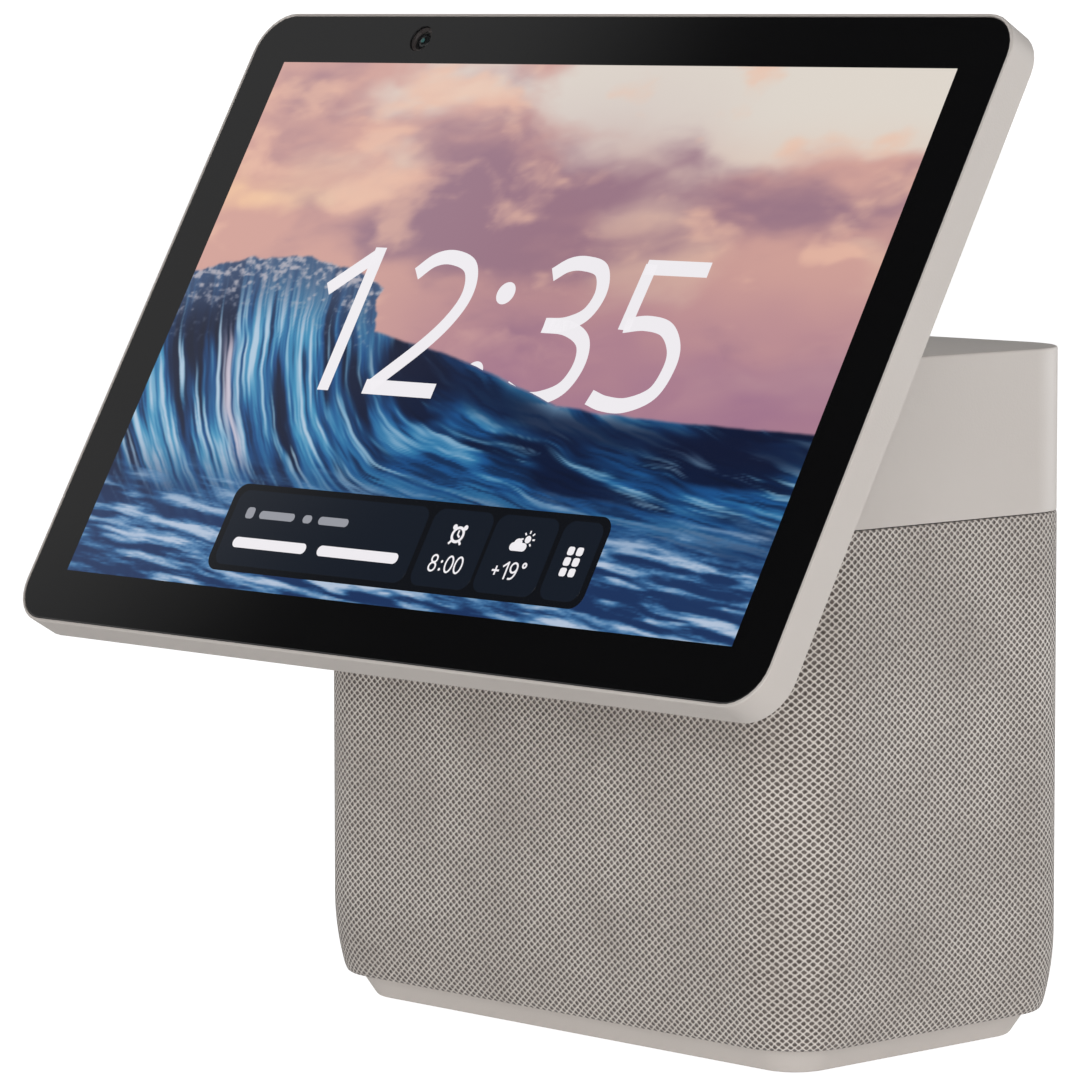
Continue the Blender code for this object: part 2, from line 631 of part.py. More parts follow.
def screen(tilt, screw_holes):
    """Frame, glass, panel, backlight, plate, board and rear cover, front to back."""
    frame_size = (GLASS_WIDTH + 2 * LIP, GLASS_HEIGHT + 2 * LIP, GLASS_CORNER + LIP)
    wall, seat = 0.0028, GLASS_FRONT - GLASS_THICK - 0.0002
    edge, lip_inner = 0.0004, LIP - 0.00015
    lofted = {"parent": tilt, "turn": TOWARDS_FRONT, "lift": CENTRE_ABOVE, "steps": 8}
    rings = [
        (edge, FRAME_BACK),
        (0.0, FRAME_BACK + edge),
        (0.0, GLASS_FRONT - edge),
        (0.3 * edge, GLASS_FRONT - 0.3 * edge),
        (edge, GLASS_FRONT),
        (lip_inner, GLASS_FRONT),
        (lip_inner, seat),
        (wall, seat),
        (wall, FRAME_BACK),
    ]
    frame = loft("display_frame", frame_size, rings, SHELL_PLASTIC, loop=True, **lofted)
    rings = [(LIP, seat + 0.0002), (LIP, GLASS_FRONT - 0.0002), (LIP + 0.0002, GLASS_FRONT)]
    loft("cover_glass", frame_size, rings, BLACK_GLASS, **lofted)

    side = ACTIVE_WIDTH / 2 + 0.003
    low_z, high_z = CENTRE_ABOVE - ACTIVE_HEIGHT / 2 - 0.008, CENTRE_ABOVE + ACTIVE_HEIGHT / 2 + 0.0021
    low, high = (-side, -seat + 0.0002, low_z), (side, -seat + 0.0014, high_z)
    block("lcd_panel", low, high, BLACK_GLASS, tilt)
    block("backlight", (-side, -0.0233, low_z), (side, -0.0216, high_z), DIFFUSER, tilt)
    plate_inset = wall + GAP
    rings = [(plate_inset, 0.0206), (plate_inset, 0.0214)]
    plate = loft("mid_plate", frame_size, rings, STEEL, **lofted)
    camera_z = CENTRE_ABOVE + CAMERA_UP
    low, high = (CAMERA_X - 0.005, -0.0224, camera_z - 0.005), (CAMERA_X + 0.005, -0.0196, 0.090)
    cut(plate, block("camera_notch", low, high, None, tilt), screw_holes)
    block("display_board", (-0.070, -0.0203, -0.058), (0.020, -0.0195, -0.018), BOARD, tilt)
    rings = [(plate_inset, FRAME_BACK), (plate_inset, FRAME_BACK + 0.0016)]
    cover = loft("display_rear_cover", frame_size, rings, SHELL_PLASTIC, **lofted)
    cut(cover, block("neck_opening", (-0.032, -0.0204, -0.0034), (0.032, -0.0160, 0.0034), None, tilt))
    return frame, camera_z


def camera(tilt, frame, camera_z):
    """The camera behind the glass, and a blade with a thumb tab that slides across in front of it."""
    half, back, front, barrel_front = 0.0035, 0.0196, 0.0222, 0.0232
    low, high = (CAMERA_X - half, -front, camera_z - half), (CAMERA_X + half, -back, camera_z + half)
    module = block("camera_module", low, high, DARK_PLASTIC, tilt)
    start, end = (CAMERA_X, -front + 0.0005, camera_z), (CAMERA_X, -barrel_front, camera_z)
    join(module, rod("camera_barrel", start, end, 0.0030, 20, None, tilt))
    start, end = (CAMERA_X, -barrel_front + 0.0008, camera_z), (CAMERA_X, -0.0250, camera_z)
    cut(module, rod("lens_seat", start, end, 0.0023, 20, None, tilt))
    lens = [(0.0, 0.0004), (0.0010, 0.0003), (0.0021, 0.0), (0.0021, -0.0003), (0.0, -0.0003)]
    lens_place = at(CAMERA_X, -barrel_front + 0.0004, camera_z, TOWARDS_FRONT)
    turned("camera_lens", lens, BLACK_GLASS, lens_place, 16, tilt)

    rest_x, far_x = CAMERA_X + SHUTTER_TRAVEL, CAMERA_X - 0.0005
    frame_top = CENTRE_ABOVE + GLASS_HEIGHT / 2 + LIP
    inner_wall, above = frame_top - 0.0028, frame_top + 0.0010
    blade_half, stem, tab = 0.0037, 0.0015, 0.0030
    blade_front, blade_back = -0.0240, -0.0235
    low = (rest_x - blade_half, blade_front, camera_z - 0.0034)
    high = (rest_x + blade_half, blade_back, inner_wall - GAP)
    blade = block("camera_shutter", low, high, DARK_PLASTIC, tilt)
    low = (rest_x - stem, blade_front, inner_wall - 0.0010)
    high = (rest_x + stem, blade_back, frame_top - 0.0004)
    stem_block = block("shutter_stem", low, high, None, tilt)
    low = (rest_x - tab, -0.0238, frame_top - 0.0006)
    high = (rest_x + tab, -0.0208, frame_top - 0.0001)
    join(blade, stem_block, block("shutter_tab", low, high, None, tilt))
    low, high = (far_x - stem, -0.0242, inner_wall - 0.0010), (rest_x + stem + 0.0005, -0.0233, above)
    slot = block("shutter_slot", low, high, None, tilt)
    low, high = (far_x - tab, -0.0242, frame_top - 0.0008), (rest_x + tab + 0.0005, -0.0204, above)
    cut(frame, slot, block("shutter_recess", low, high, None, tilt))


clear_scene()
parts = new_collection("smart_display")
cutters = new_collection("cutters")
tilt_axis = bpy.data.objects.new("tilt_axis", None)
parts.objects.link(tilt_axis)
tilt_axis.matrix_world = at(0, AXIS_Y, AXIS_Z, Matrix.Rotation(-LEAN_BACK, 4, "X"))

foot_holes = foot()
port_opening = inlet()
sleeve(port_opening)
speaker_lid = enclosure(port_opening, foot_holes)
drivers()
upper_shell(buttons())
electronics()
hinge_base(speaker_lid)
arm_holes = hinge_arm(tilt_axis)
screen_frame, camera_height = screen(tilt_axis, arm_holes)
camera(tilt_axis, screen_frame, camera_height)
bpy.context.view_layer.update()
smooth_rounds()
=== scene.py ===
import json
import math

import bmesh
import bpy
import numpy as np
from mathutils import Matrix, Vector

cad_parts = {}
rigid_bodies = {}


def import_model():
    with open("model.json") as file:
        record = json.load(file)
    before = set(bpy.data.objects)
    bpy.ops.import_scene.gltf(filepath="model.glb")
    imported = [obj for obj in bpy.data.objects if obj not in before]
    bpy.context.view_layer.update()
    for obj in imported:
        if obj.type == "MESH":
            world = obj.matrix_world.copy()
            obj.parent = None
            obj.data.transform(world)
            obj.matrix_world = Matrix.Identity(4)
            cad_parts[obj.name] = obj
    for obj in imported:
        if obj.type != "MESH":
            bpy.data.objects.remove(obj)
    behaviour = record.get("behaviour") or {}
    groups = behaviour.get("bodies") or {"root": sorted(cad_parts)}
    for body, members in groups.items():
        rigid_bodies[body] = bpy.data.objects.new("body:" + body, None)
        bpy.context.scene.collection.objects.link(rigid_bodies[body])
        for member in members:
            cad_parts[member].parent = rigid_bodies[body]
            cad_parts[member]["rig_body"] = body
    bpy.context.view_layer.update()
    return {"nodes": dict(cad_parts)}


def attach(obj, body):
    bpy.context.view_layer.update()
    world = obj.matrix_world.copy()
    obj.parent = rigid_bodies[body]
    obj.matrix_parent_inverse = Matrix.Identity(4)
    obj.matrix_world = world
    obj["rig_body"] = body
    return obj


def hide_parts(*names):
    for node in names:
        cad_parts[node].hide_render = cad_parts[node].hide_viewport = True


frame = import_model()


# ---------------------------------------------------------------- studio
# The camera stands a little above the speaker's top, off its right front corner. A dome, bright
# near the horizon and shaded by a flag, lights the whole, with a card at the left for the glass
# to mirror and four weak soft boxes. The floor is a pale sheet that glows, as a lit sweep does.
CAMERA_PLACE = (0.8971, -0.9000, 0.2333)
CAMERA_TURN, CAMERA_DROP, CAMERA_ROLL = 46.36, 5.37, -0.07
SENSOR_WIDTH, FRAME_SIDE, FOCAL_LENGTH = 36.0, 1080.0, 5528.8
CENTRE_RIGHT, CENTRE_UP = -11.1, -13.1
SKY_HEIGHTS, SKY_LEVELS = (0.02, 0.50), (1.20, 0.11)
FLAG_WAY, FLAG_EDGES, FLAG_SHARES = (-0.50, -0.63, 0.59), (0.80, 0.975), (1.0, 0.10)
CARD_WAY, CARD_EDGES, CARD_LEVELS = (-0.9026, 0.0, 0.4305), (0.8960, 0.9140), (0.0, 0.40)
FLOOR_HALF, FLOOR_LEVEL, FLOOR_GREY = 6.0, -0.0001, 0.72
GLOW_CAST, GLOW_SEEN = 0.22, 0.92


def add(tree, kind, sockets=None, **settings):
    """One shader node. A socket is given a plain value, or the socket that feeds it."""
    made = tree.nodes.new("ShaderNode" + kind)
    for key, value in settings.items():
        setattr(made, key, value)
    for key, value in (sockets or {}).items():
        if isinstance(value, bpy.types.NodeSocket):
            tree.links.new(value, made.inputs[key])
        else:
            made.inputs[key].default_value = value
    return made


def maths(tree, operation, *values, **settings):
    """The result of one sum or function over plain values and sockets."""
    return add(tree, "Math", dict(enumerate(values)), operation=operation, **settings).outputs[0]


def eased(tree, value, low, high, start=0.0, end=1.0):
    """A number that goes smoothly from start to end as the value goes from low to high."""
    return add(
        tree, "MapRange", {"Value": value, 1: low, 2: high, 3: start, 4: end},
        interpolation_type="SMOOTHSTEP",
    ).outputs[0]


def towards(tree, direction, way):
    """The cosine between a direction and a fixed one."""
    return add(
        tree, "VectorMath", {0: direction, 1: way}, operation="DOT_PRODUCT"
    ).outputs["Value"]


camera = bpy.data.objects.new("camera", bpy.data.cameras.new("camera"))
bpy.context.scene.collection.objects.link(camera)
camera.matrix_world = (
    Matrix.Translation(CAMERA_PLACE)
    @ Matrix.Rotation(math.radians(CAMERA_TURN), 4, "Z")
    @ Matrix.Rotation(math.radians(90.0 - CAMERA_DROP), 4, "X")
    @ Matrix.Rotation(math.radians(CAMERA_ROLL), 4, "Z")
)
camera.data.sensor_width = SENSOR_WIDTH
camera.data.lens = SENSOR_WIDTH * FOCAL_LENGTH / FRAME_SIDE
camera.data.shift_x = CENTRE_RIGHT / FRAME_SIDE
camera.data.shift_y = CENTRE_UP / FRAME_SIDE
bpy.context.scene.camera = camera
bpy.context.scene.view_settings.view_transform = "Standard"

dome = bpy.data.worlds.new("dome")
bpy.context.scene.world = dome
dome.use_nodes = True
sky = dome.node_tree
sky.nodes.clear()
direction = add(sky, "TexCoord").outputs["Generated"]
height = add(sky, "SeparateXYZ", {0: direction}).outputs["Z"]
level = eased(sky, height, *SKY_HEIGHTS, *SKY_LEVELS)
flag = eased(sky, towards(sky, direction, FLAG_WAY), *FLAG_EDGES, *FLAG_SHARES)
card = eased(sky, towards(sky, direction, CARD_WAY), *CARD_EDGES, *CARD_LEVELS)
strength = maths(sky, "MULTIPLY_ADD", level, flag, card)
glow = add(sky, "Background", {"Color": (1.0, 1.0, 1.0, 1.0), "Strength": strength})
add(sky, "OutputWorld", {"Surface": glow.outputs[0]})

floor_mesh = bpy.data.meshes.new("floor")
corners = ((-1, -1), (1, -1), (1, 1), (-1, 1))
corners = [(FLOOR_HALF * x, FLOOR_HALF * y, FLOOR_LEVEL) for x, y in corners]
floor_mesh.from_pydata(corners, [], [(0, 1, 2, 3)])
floor = bpy.data.objects.new("floor", floor_mesh)
bpy.context.scene.collection.objects.link(floor)
sweep = bpy.data.materials.new("sweep")
sweep.use_nodes = True
paper = sweep.node_tree.nodes["Principled BSDF"].inputs
paper["Base Color"].default_value = (FLOOR_GREY, FLOOR_GREY, FLOOR_GREY, 1.0)
paper["Roughness"].default_value = 0.9
paper["Specular IOR Level"].default_value = 0.0
paper["Emission Color"].default_value = (1.0, 1.0, 1.0, 1.0)
seen = add(sweep.node_tree, "LightPath").outputs["Is Camera Ray"]
share = add(sweep.node_tree, "MapRange", {"Value": seen, 3: GLOW_CAST, 4: GLOW_SEEN}).outputs[0]
sweep.node_tree.links.new(share, paper["Emission Strength"])
floor.data.materials.append(sweep)


def soft_box(name, place, aim, size, power):
    """A square area lamp that looks from its place towards a point."""
    lamp = bpy.data.lights.new(name, "AREA")
    lamp.shape, lamp.size, lamp.energy = "SQUARE", size, power
    box = bpy.data.objects.new(name, lamp)
    bpy.context.scene.collection.objects.link(box)
    away = Vector(place) - Vector(aim)
    box.rotation_euler = away.to_track_quat("Z", "Y").to_euler()
    box.location = place


soft_box("side_light", place=(1.3, -0.1, 0.35), aim=(0.0, 0.0, 0.10), size=0.9, power=0.6)
soft_box("front_light", place=(1.00, -1.08, 0.32), aim=(0.0, 0.0, 0.08), size=0.80, power=9.5)
soft_box("back_light", place=(0.30, 1.45, 0.20), aim=(0.0, 0.0, 0.08), size=0.60, power=6.0)
soft_box("left_light", place=(-1.40, 0.40, 0.15), aim=(0.0, 0.0, 0.08), size=0.40, power=2.0)


# ---------------------------------------------------------------- moulded plastic foot
# A warm grey moulding that carries the speaker, with a chamfered rim and a fine spark-eroded
# texture. A black rubber sole is let into its underside, and four screws hold it on.
BODY_WIDTH, BODY_DEPTH, BODY_CORNER = 0.1623, 0.0957, 0.0190
MERGE, SAME_PLANE = 2e-6, math.radians(0.3)


def rim(width, depth, corner, side_cells, corner_cells):
    """Points round a rectangle with quarter-circle corners, and their outward directions.

    They run anticlockwise, seen from above. Each side is cut into equal cells, and so is
    each corner, whose points lie at its radius from its centre.
    """
    points, outward = [], []
    for quarter, (sx, sy) in enumerate(((1, 1), (-1, 1), (-1, -1), (1, -1))):
        angles = math.radians(90) * (quarter + np.linspace(0, 1, corner_cells + 1))
        turned = np.stack([np.cos(angles), np.sin(angles)], 1)
        centre = np.array([sx * (width / 2 - corner), sy * (depth / 2 - corner)])
        arc = centre + corner * turned
        following = np.array([-sy * (width / 2 - corner), sx * (depth / 2 - corner)])
        end = following + corner * turned[-1]
        along = np.linspace(0, 1, side_cells + 1)[1:-1, None]
        points += [arc, arc[-1] + along * (end - arc[-1])]
        outward += [turned, np.repeat(turned[-1:], side_cells - 1, 0)]
    return np.concatenate(points), np.concatenate(outward)


def lofted(outline, outward, rings):
    """A skin through one outline drawn in by each ring's inset, at each ring's height."""
    inset, level = np.array(rings, float).T
    flat = outline[None] - inset[:, None, None] * outward[None]
    tall = np.broadcast_to(level[:, None, None], flat.shape[:2] + (1,))
    return np.concatenate([flat, tall], 2)


def woven(points, around=True, loop=False, ends=True):
    """Vertices and faces of a surface held as a grid of rows and columns of points.

    around joins the last column to the first, loop joins the last row to the first, and
    ends closes the first and the last row with a flat cap.
    """
    rows, columns = points.shape[:2]
    index = np.arange(rows * columns).reshape(rows, columns)
    across = np.hstack([index, index[:, :1]]) if around else index
    across = np.vstack([across, across[:1]]) if loop else across
    quads = np.stack([across[:-1, :-1], across[:-1, 1:], across[1:, 1:], across[1:, :-1]], -1)
    faces = quads.reshape(-1, 4).tolist()
    if ends and not loop:
        faces += [index[0][::-1].tolist(), index[-1].tolist()]
    return points.reshape(-1, 3), faces


def piece(name, shapes, body, finish, replaced=(), sharp=35.0):
    """An object made of one or more closed surfaces, shaded smooth up to sharp degrees."""
    points, faces, start = [], [], 0
    for shape_points, shape_faces in shapes:
        points.append(shape_points)
        faces += [[start + corner for corner in face] for face in shape_faces]
        start += len(shape_points)
    mesh = bpy.data.meshes.new(name)
    mesh.from_pydata(np.concatenate(points), [], faces)
    made = bpy.data.objects.new(name, mesh)
    return finished(made, body, finish, replaced, sharp)


def finished(made, body, finish, replaced=(), sharp=35.0):
    """Link an object, shade it, give it its material and hand it to its body."""
    bpy.context.scene.collection.objects.link(made)
    made.data.shade_smooth()
    made.data.set_sharp_from_angle(angle=math.radians(sharp))
    made.data.materials.clear()
    made.data.materials.append(finish)
    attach(made, body)
    if replaced:
        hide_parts(*replaced)
    return made


def dressed(node, finish, sharp=35.0):
    """A CAD piece in its real finish: its triangles are joined, and its flats kept flat."""
    source = frame["nodes"][node]
    form = bmesh.new()
    form.from_mesh(source.data)
    bmesh.ops.remove_doubles(form, verts=form.verts, dist=MERGE)
    bmesh.ops.dissolve_limit(form, angle_limit=SAME_PLANE, verts=form.verts, edges=form.edges)
    mesh = bpy.data.meshes.new(node + "_skin")
    form.to_mesh(mesh)
    form.free()
    made = bpy.data.objects.new(node + "_skin", mesh)
    finished(made, source["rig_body"], finish, (node,), sharp)
    weigh = made.modifiers.new("flats", "WEIGHTED_NORMAL")
    weigh.keep_sharp = True
    graph = bpy.context.evaluated_depsgraph_get()
    made.data = bpy.data.meshes.new_from_object(made.evaluated_get(graph))
    made.modifiers.clear()
    return made


def linear(shown):
    """Linear light from values as they look on a display, 0 to 255."""
    shown = np.asarray(shown) / 255
    return np.where(shown > 0.04045, ((shown + 0.055) / 1.055) ** 2.4, shown / 12.92)


def tone(red, green, blue):
    """A colour given as it looks on a display, 0 to 255, turned into linear light."""
    return (*linear((red, green, blue)).tolist(), 1.0)


def material(name, colour, roughness, metallic=0.0):
    """A plain Principled material, its tree, its shader and its object coordinates."""
    made = bpy.data.materials.new(name)
    made.use_nodes = True
    shader = made.node_tree.nodes["Principled BSDF"]
    shader.inputs["Base Color"].default_value = colour
    shader.inputs["Roughness"].default_value = roughness
    shader.inputs["Metallic"].default_value = metallic
    where = add(made.node_tree, "TexCoord").outputs["Object"]
    return made, made.node_tree, shader, where


def noise(tree, where, size, detail=2.0):
    """Blender's noise with patches of about the given size, in metres."""
    return add(
        tree, "TexNoise", {"Vector": where, "Scale": 1.0 / size, "Detail": detail}
    ).outputs["Fac"]


def between(tree, share, low, high):
    """A colour or a number that goes from low to high as the share goes from 0 to 1."""
    if isinstance(high, tuple):
        return add(tree, "Mix", {0: share, 6: low, 7: high}, data_type="RGBA").outputs[2]
    return add(tree, "MapRange", {"Value": share, 3: low, 4: high}).outputs[0]


def relief(tree, shader, height, depth):
    """Bump of a real depth, in metres."""
    bump = add(tree, "Bump", {"Height": height, "Distance": depth, "Strength": 1.0})
    tree.links.new(bump.outputs[0], shader.inputs["Normal"])


def textured(name, dark, light, roughness, patch, grain, depth, metallic=0.0):
    """A finish with faint cloudy patches, a fine even grain and a little uneven gloss."""
    made, tree, shader, where = material(name, light, roughness, metallic)
    cloud = noise(tree, where, patch, 3.0)
    tree.links.new(between(tree, cloud, dark, light), shader.inputs["Base Color"])
    fine = noise(tree, where, grain)
    rough = between(tree, fine, roughness - 0.05, roughness + 0.07)
    tree.links.new(rough, shader.inputs["Roughness"])
    relief(tree, shader, fine, depth)
    return made


shell_plastic = textured(
    "shell_plastic", tone(209, 201, 195), tone(216, 209, 203),
    roughness=0.48, patch=0.030, grain=0.00045, depth=0.00003,
)
rubber = textured(
    "rubber", tone(38, 37, 36), tone(50, 49, 48),
    roughness=0.82, patch=0.012, grain=0.0006, depth=0.00006,
)
steel = textured(
    "steel", tone(150, 150, 152), tone(190, 190, 192),
    roughness=0.34, patch=0.006, grain=0.0004, depth=0.00001, metallic=1.0,
)

foot_outline = rim(BODY_WIDTH, BODY_DEPTH, BODY_CORNER, side_cells=24, corner_cells=24)
foot = [  # inset and height: the flat underside, the rim, the chamfer, then under the knit
    (0.0127, 0.0019), (0.0127, 0.0007), (0.01262, 0.00048), (0.0124, 0.0004), (0.0108, 0.0004),
    (0.01035, 0.00050), (0.0100, 0.0007), (0.0097, 0.0010), (0.00675, 0.0054),
    (0.00652, 0.00575), (0.00648, 0.0060), (0.0090, 0.0060), (0.0090, 0.0076),
]
piece(
    "foot_moulding", [woven(lofted(*foot_outline, foot))], "base", shell_plastic,
    ("foot_plate",),
)
dressed("rubber_sole", rubber)
for number in (1, 2, 3, 4):
    dressed(f"foot_screw_{number}", steel)


# ---------------------------------------------------------------- knitted sleeve
# A tube of spacer knit in light polyester yarn, stretched over the speaker box, tucked
# into the seam under the top and turned under at the foot. A hole is cut for the socket.
# The yarn is painted lighter along its ridges as a highlight and darker on its flanks as
# shade, and the net's openings are painted dark, as their shade and the black box behind.
SEAM_Z, FOOT_TOP_Z, CLEAR = 0.1205, 0.0060, 0.0003
FABRIC, CURL_START_Z, CURL_RADIUS = 0.0012, 0.0250, 0.0640
COLUMN, COURSE = 0.0010, 0.00165
RIDGE_HIGHLIGHT_DIM, RIDGE_HIGHLIGHT_BRIGHT, YARN_SHADE = tone(186, 177, 169), tone(250, 243, 236), tone(168, 158, 151)
YARN_MIDDLE, GAP_SHADE, YARN_ROUGHNESS = tone(200, 190, 183), tone(92, 83, 77), 0.85
GAP_EDGES, FLANK_SHADE_EDGES, YARN_RELIEF = (0.10, 0.50), (0.0, 0.12), 0.00040
FLECK_SIZE, FLECK_RANGE, CLOUD_SIZE = 0.0011, (0.45, 1.30), 0.022
WANDER, WANDER_SCALE, SHEEN, SHEEN_ROUGHNESS = (0.34, 0.26, 0.0), 0.9, 0.25, 0.5


def curl(z):
    """How far the cloth has drawn in at a height: a shallow arc above the foot."""
    return np.maximum(CURL_START_Z - z, 0.0) ** 2 / (2 * CURL_RADIUS)


def knit():
    """Light yarn in a net of upright diamonds, with a dark gap in the middle of each. The
    gaps are painted shade and the dark of the box behind, and the yarn is painted lighter
    on its ridges as a highlight and darker on its flanks as shade.

    For x in columns and y in courses, the gaps lie where cos^2(pi p) cos^2(pi q) is near
    one, with p = x/2 + y and q = x/2 - y, and the yarn where it is near nothing.
    """
    made, tree, shader, where = material("knit", YARN_MIDDLE, YARN_ROUGHNESS)
    place = add(tree, "UVMap", uv_map="UVMap").outputs[0]
    drift = add(
        tree, "TexNoise", {"Vector": place, "Scale": WANDER_SCALE, "Detail": 2.0},
        noise_dimensions="2D",
    ).outputs["Color"]
    for operation, amount in (("SUBTRACT", (0.5, 0.5, 0.5)), ("MULTIPLY", WANDER), ("ADD", place)):
        drift = add(tree, "VectorMath", {0: drift, 1: amount}, operation=operation).outputs[0]
    split = add(tree, "SeparateXYZ", {0: drift})
    half = maths(tree, "MULTIPLY", split.outputs[0], 0.5)
    squares = []
    for sign in (1.0, -1.0):
        slant = maths(tree, "MULTIPLY_ADD", split.outputs[1], sign, half)
        cosine = maths(tree, "COSINE", maths(tree, "MULTIPLY", slant, math.pi))
        squares.append(maths(tree, "POWER", cosine, 2.0))
    opening = maths(tree, "MULTIPLY", *squares)
    # Painted light on the yarn: its ridges, where the opening is near nothing, get a painted
    # highlight, and the rest of the yarn gets the painted shade of its flanks.
    gap, flank_shade = eased(tree, opening, *GAP_EDGES), eased(tree, opening, *FLANK_SHADE_EDGES)
    fleck = between(tree, noise(tree, where, FLECK_SIZE, 1.0), *FLECK_RANGE)
    yarn = between(tree, noise(tree, where, CLOUD_SIZE, 3.0), RIDGE_HIGHLIGHT_DIM, RIDGE_HIGHLIGHT_BRIGHT)
    yarn = between(tree, flank_shade, yarn, YARN_SHADE)
    # The gaps are painted dark: the shade in the net's openings and the black box behind them.
    gap = maths(tree, "MULTIPLY", gap, fleck, use_clamp=True)
    tree.links.new(between(tree, gap, yarn, GAP_SHADE), shader.inputs["Base Color"])
    shader.inputs["Sheen Weight"].default_value = SHEEN
    shader.inputs["Sheen Roughness"].default_value = SHEEN_ROUGHNESS
    relief(tree, shader, maths(tree, "SUBTRACT", 1.0, opening), YARN_RELIEF)
    return made


sleeve_outline, sleeve_outward = rim(
    BODY_WIDTH, BODY_DEPTH, BODY_CORNER, side_cells=90, corner_cells=32
)
under, top_z = FOOT_TOP_Z + CLEAR, SEAM_Z - CLEAR
curl_z = np.linspace(0.0084, CURL_START_Z, 18)
wall_z = np.linspace(CURL_START_Z, top_z - 0.0005, 60)[1:]
fold = [
    (0.0086, under), (0.0052, under), (0.0038, under), (0.0033, 0.00642), (0.0029, 0.0067),
    (0.0026, 0.0072), (0.00235, 0.0078),
]
outside = [(float(curl(z)), z) for z in curl_z] + [(0.0, z) for z in wall_z]
tuck = [(0.00006, top_z - 0.00028), (0.0002, top_z - 0.0001), (0.0004, top_z)]
inside = [(FABRIC, top_z)]
inside += [(FABRIC + float(curl(z)), z) for z in (*wall_z[::-6], *curl_z[::-3])]
inside += [(0.0086, 0.0076)]
sleeve_rings = np.array(fold + outside + tuck + inside)
sleeve_grid = lofted(sleeve_outline, sleeve_outward, sleeve_rings)
sleeve = piece(
    "knitted_sleeve", [woven(sleeve_grid, loop=True)], "base", knit(),
    ("fabric_sleeve",), 60.0,
)

# The pattern's coordinates count columns round the body and courses along the profile.
round_body = np.linalg.norm(np.diff(sleeve_outline, axis=0, append=sleeve_outline[:1]), axis=1)
along = np.hypot(*np.diff(sleeve_rings, axis=0, append=sleeve_rings[:1]).T)
columns = 2 * round(round_body.sum() / (2 * COLUMN))
across = np.append(0.0, np.cumsum(round_body)) * columns / round_body.sum()
up = np.append(0.0, np.cumsum(along)) / COURSE
grid = np.stack(np.meshgrid(across, up), -1)
corners = np.stack([grid[:-1, :-1], grid[:-1, 1:], grid[1:, 1:], grid[1:, :-1]], 2)
layer = sleeve.data.uv_layers.new(name="UVMap")
layer.data.foreach_set("uv", corners.reshape(-1).astype(np.float32))


# ---------------------------------------------------------------- socket for the power lead
# A small plate moulded in the shell's plastic fills the hole in the knit, low on the back,
# round a barrel socket with one pin.
INLET_Z, PORT_WIDTH, PORT_HEIGHT, PORT_CORNER = 0.0200, 0.0346, 0.0136, 0.0033
PORT_REACH = (0.038, 0.052)


def carved(made, name, shape):
    """Cut a closed shape out of a piece, and drop the shape."""
    mesh = bpy.data.meshes.new(name)
    mesh.from_pydata(shape[0], [], shape[1])
    cutter = bpy.data.objects.new(name, mesh)
    bpy.context.scene.collection.objects.link(cutter)
    hole = made.modifiers.new(name, "BOOLEAN")
    hole.object, hole.solver = cutter, "EXACT"
    graph = bpy.context.evaluated_depsgraph_get()
    made.data = bpy.data.meshes.new_from_object(made.evaluated_get(graph))
    made.modifiers.clear()
    bpy.data.objects.remove(cutter)


def facing_back(points):
    """Turn a loft that stands up so that its top faces the back, about the socket's middle."""
    x, y, z = points[..., 0], points[..., 1], points[..., 2]
    return np.stack([-x, z, INLET_Z + y], -1)


dark_plastic = textured(
    "dark_plastic", tone(30, 30, 31), tone(40, 40, 41),
    roughness=0.45, patch=0.02, grain=0.0005, depth=0.00003,
)
port_outline = rim(PORT_WIDTH, PORT_HEIGHT, PORT_CORNER, side_cells=4, corner_cells=8)
opening = lofted(*port_outline, [(0.0, reach) for reach in PORT_REACH])
carved(sleeve, "port_opening", woven(facing_back(opening)))
dressed("port_plate", shell_plastic)
dressed("power_inlet", dark_plastic)


# ---------------------------------------------------------------- speaker box and drivers
# A black moulded box with grilles in its walls carries the woofer at the front, a driver at
# each side, two tweeters and a passive radiator at the back.
paper_cone = textured(
    "paper_cone", tone(28, 28, 29), tone(52, 51, 50),
    roughness=0.75, patch=0.004, grain=0.0007, depth=0.00012,
)
aluminium = textured(
    "aluminium", tone(190, 191, 193), tone(214, 215, 217),
    roughness=0.32, patch=0.02, grain=0.0005, depth=0.00001, metallic=1.0,
)
ferrite = textured(
    "ferrite", tone(44, 44, 47), tone(64, 64, 68),
    roughness=0.55, patch=0.002, grain=0.0008, depth=0.00005, metallic=0.2,
)
for node in ("speaker_enclosure", "enclosure_lid"):
    dressed(node, dark_plastic)
for driver in ("woofer", "left_driver", "right_driver"):
    dressed(driver + "_basket", steel)
    dressed(driver + "_magnet", ferrite)
    dressed(driver + "_cone", paper_cone)
for node in ("woofer_surround", "radiator_surround"):
    dressed(node, rubber)
for node in ("left_tweeter", "right_tweeter", "radiator_plate"):
    dressed(node, aluminium)


# ---------------------------------------------------------------- top shell and its buttons
# One warm grey moulding caps the body, with a notch for the hinge, two microphone holes and
# three round keys: quieter, microphone off, louder.
TOP_Z, BUTTON_Y, BUTTON_PITCH, BUTTON_RADIUS = 0.1573, 0.0180, 0.0220, 0.0060
DISH_DEPTH, DISH_RADIUS, DISH_FLOOR = 0.0002, 0.0056, 0.0001
ICON_WIDTH, ICON_SPAN, ICON_LEVELS = 0.00062, 0.0023, (0.00005, 0.00024)


def turned(profile, centre, steps=64, loop=False):
    """A turned surface: a profile of radius and height carried round an upright axis.

    loop joins the profile's end to its start, as in a ring.
    """
    radius, level = np.array(profile, float).T
    angle = np.arange(steps) * 2 * np.pi / steps
    points = np.stack([
        centre[0] + radius[:, None] * np.cos(angle),
        centre[1] + radius[:, None] * np.sin(angle),
        centre[2] + level[:, None] + 0 * angle,
    ], -1)
    return woven(points, loop=loop)


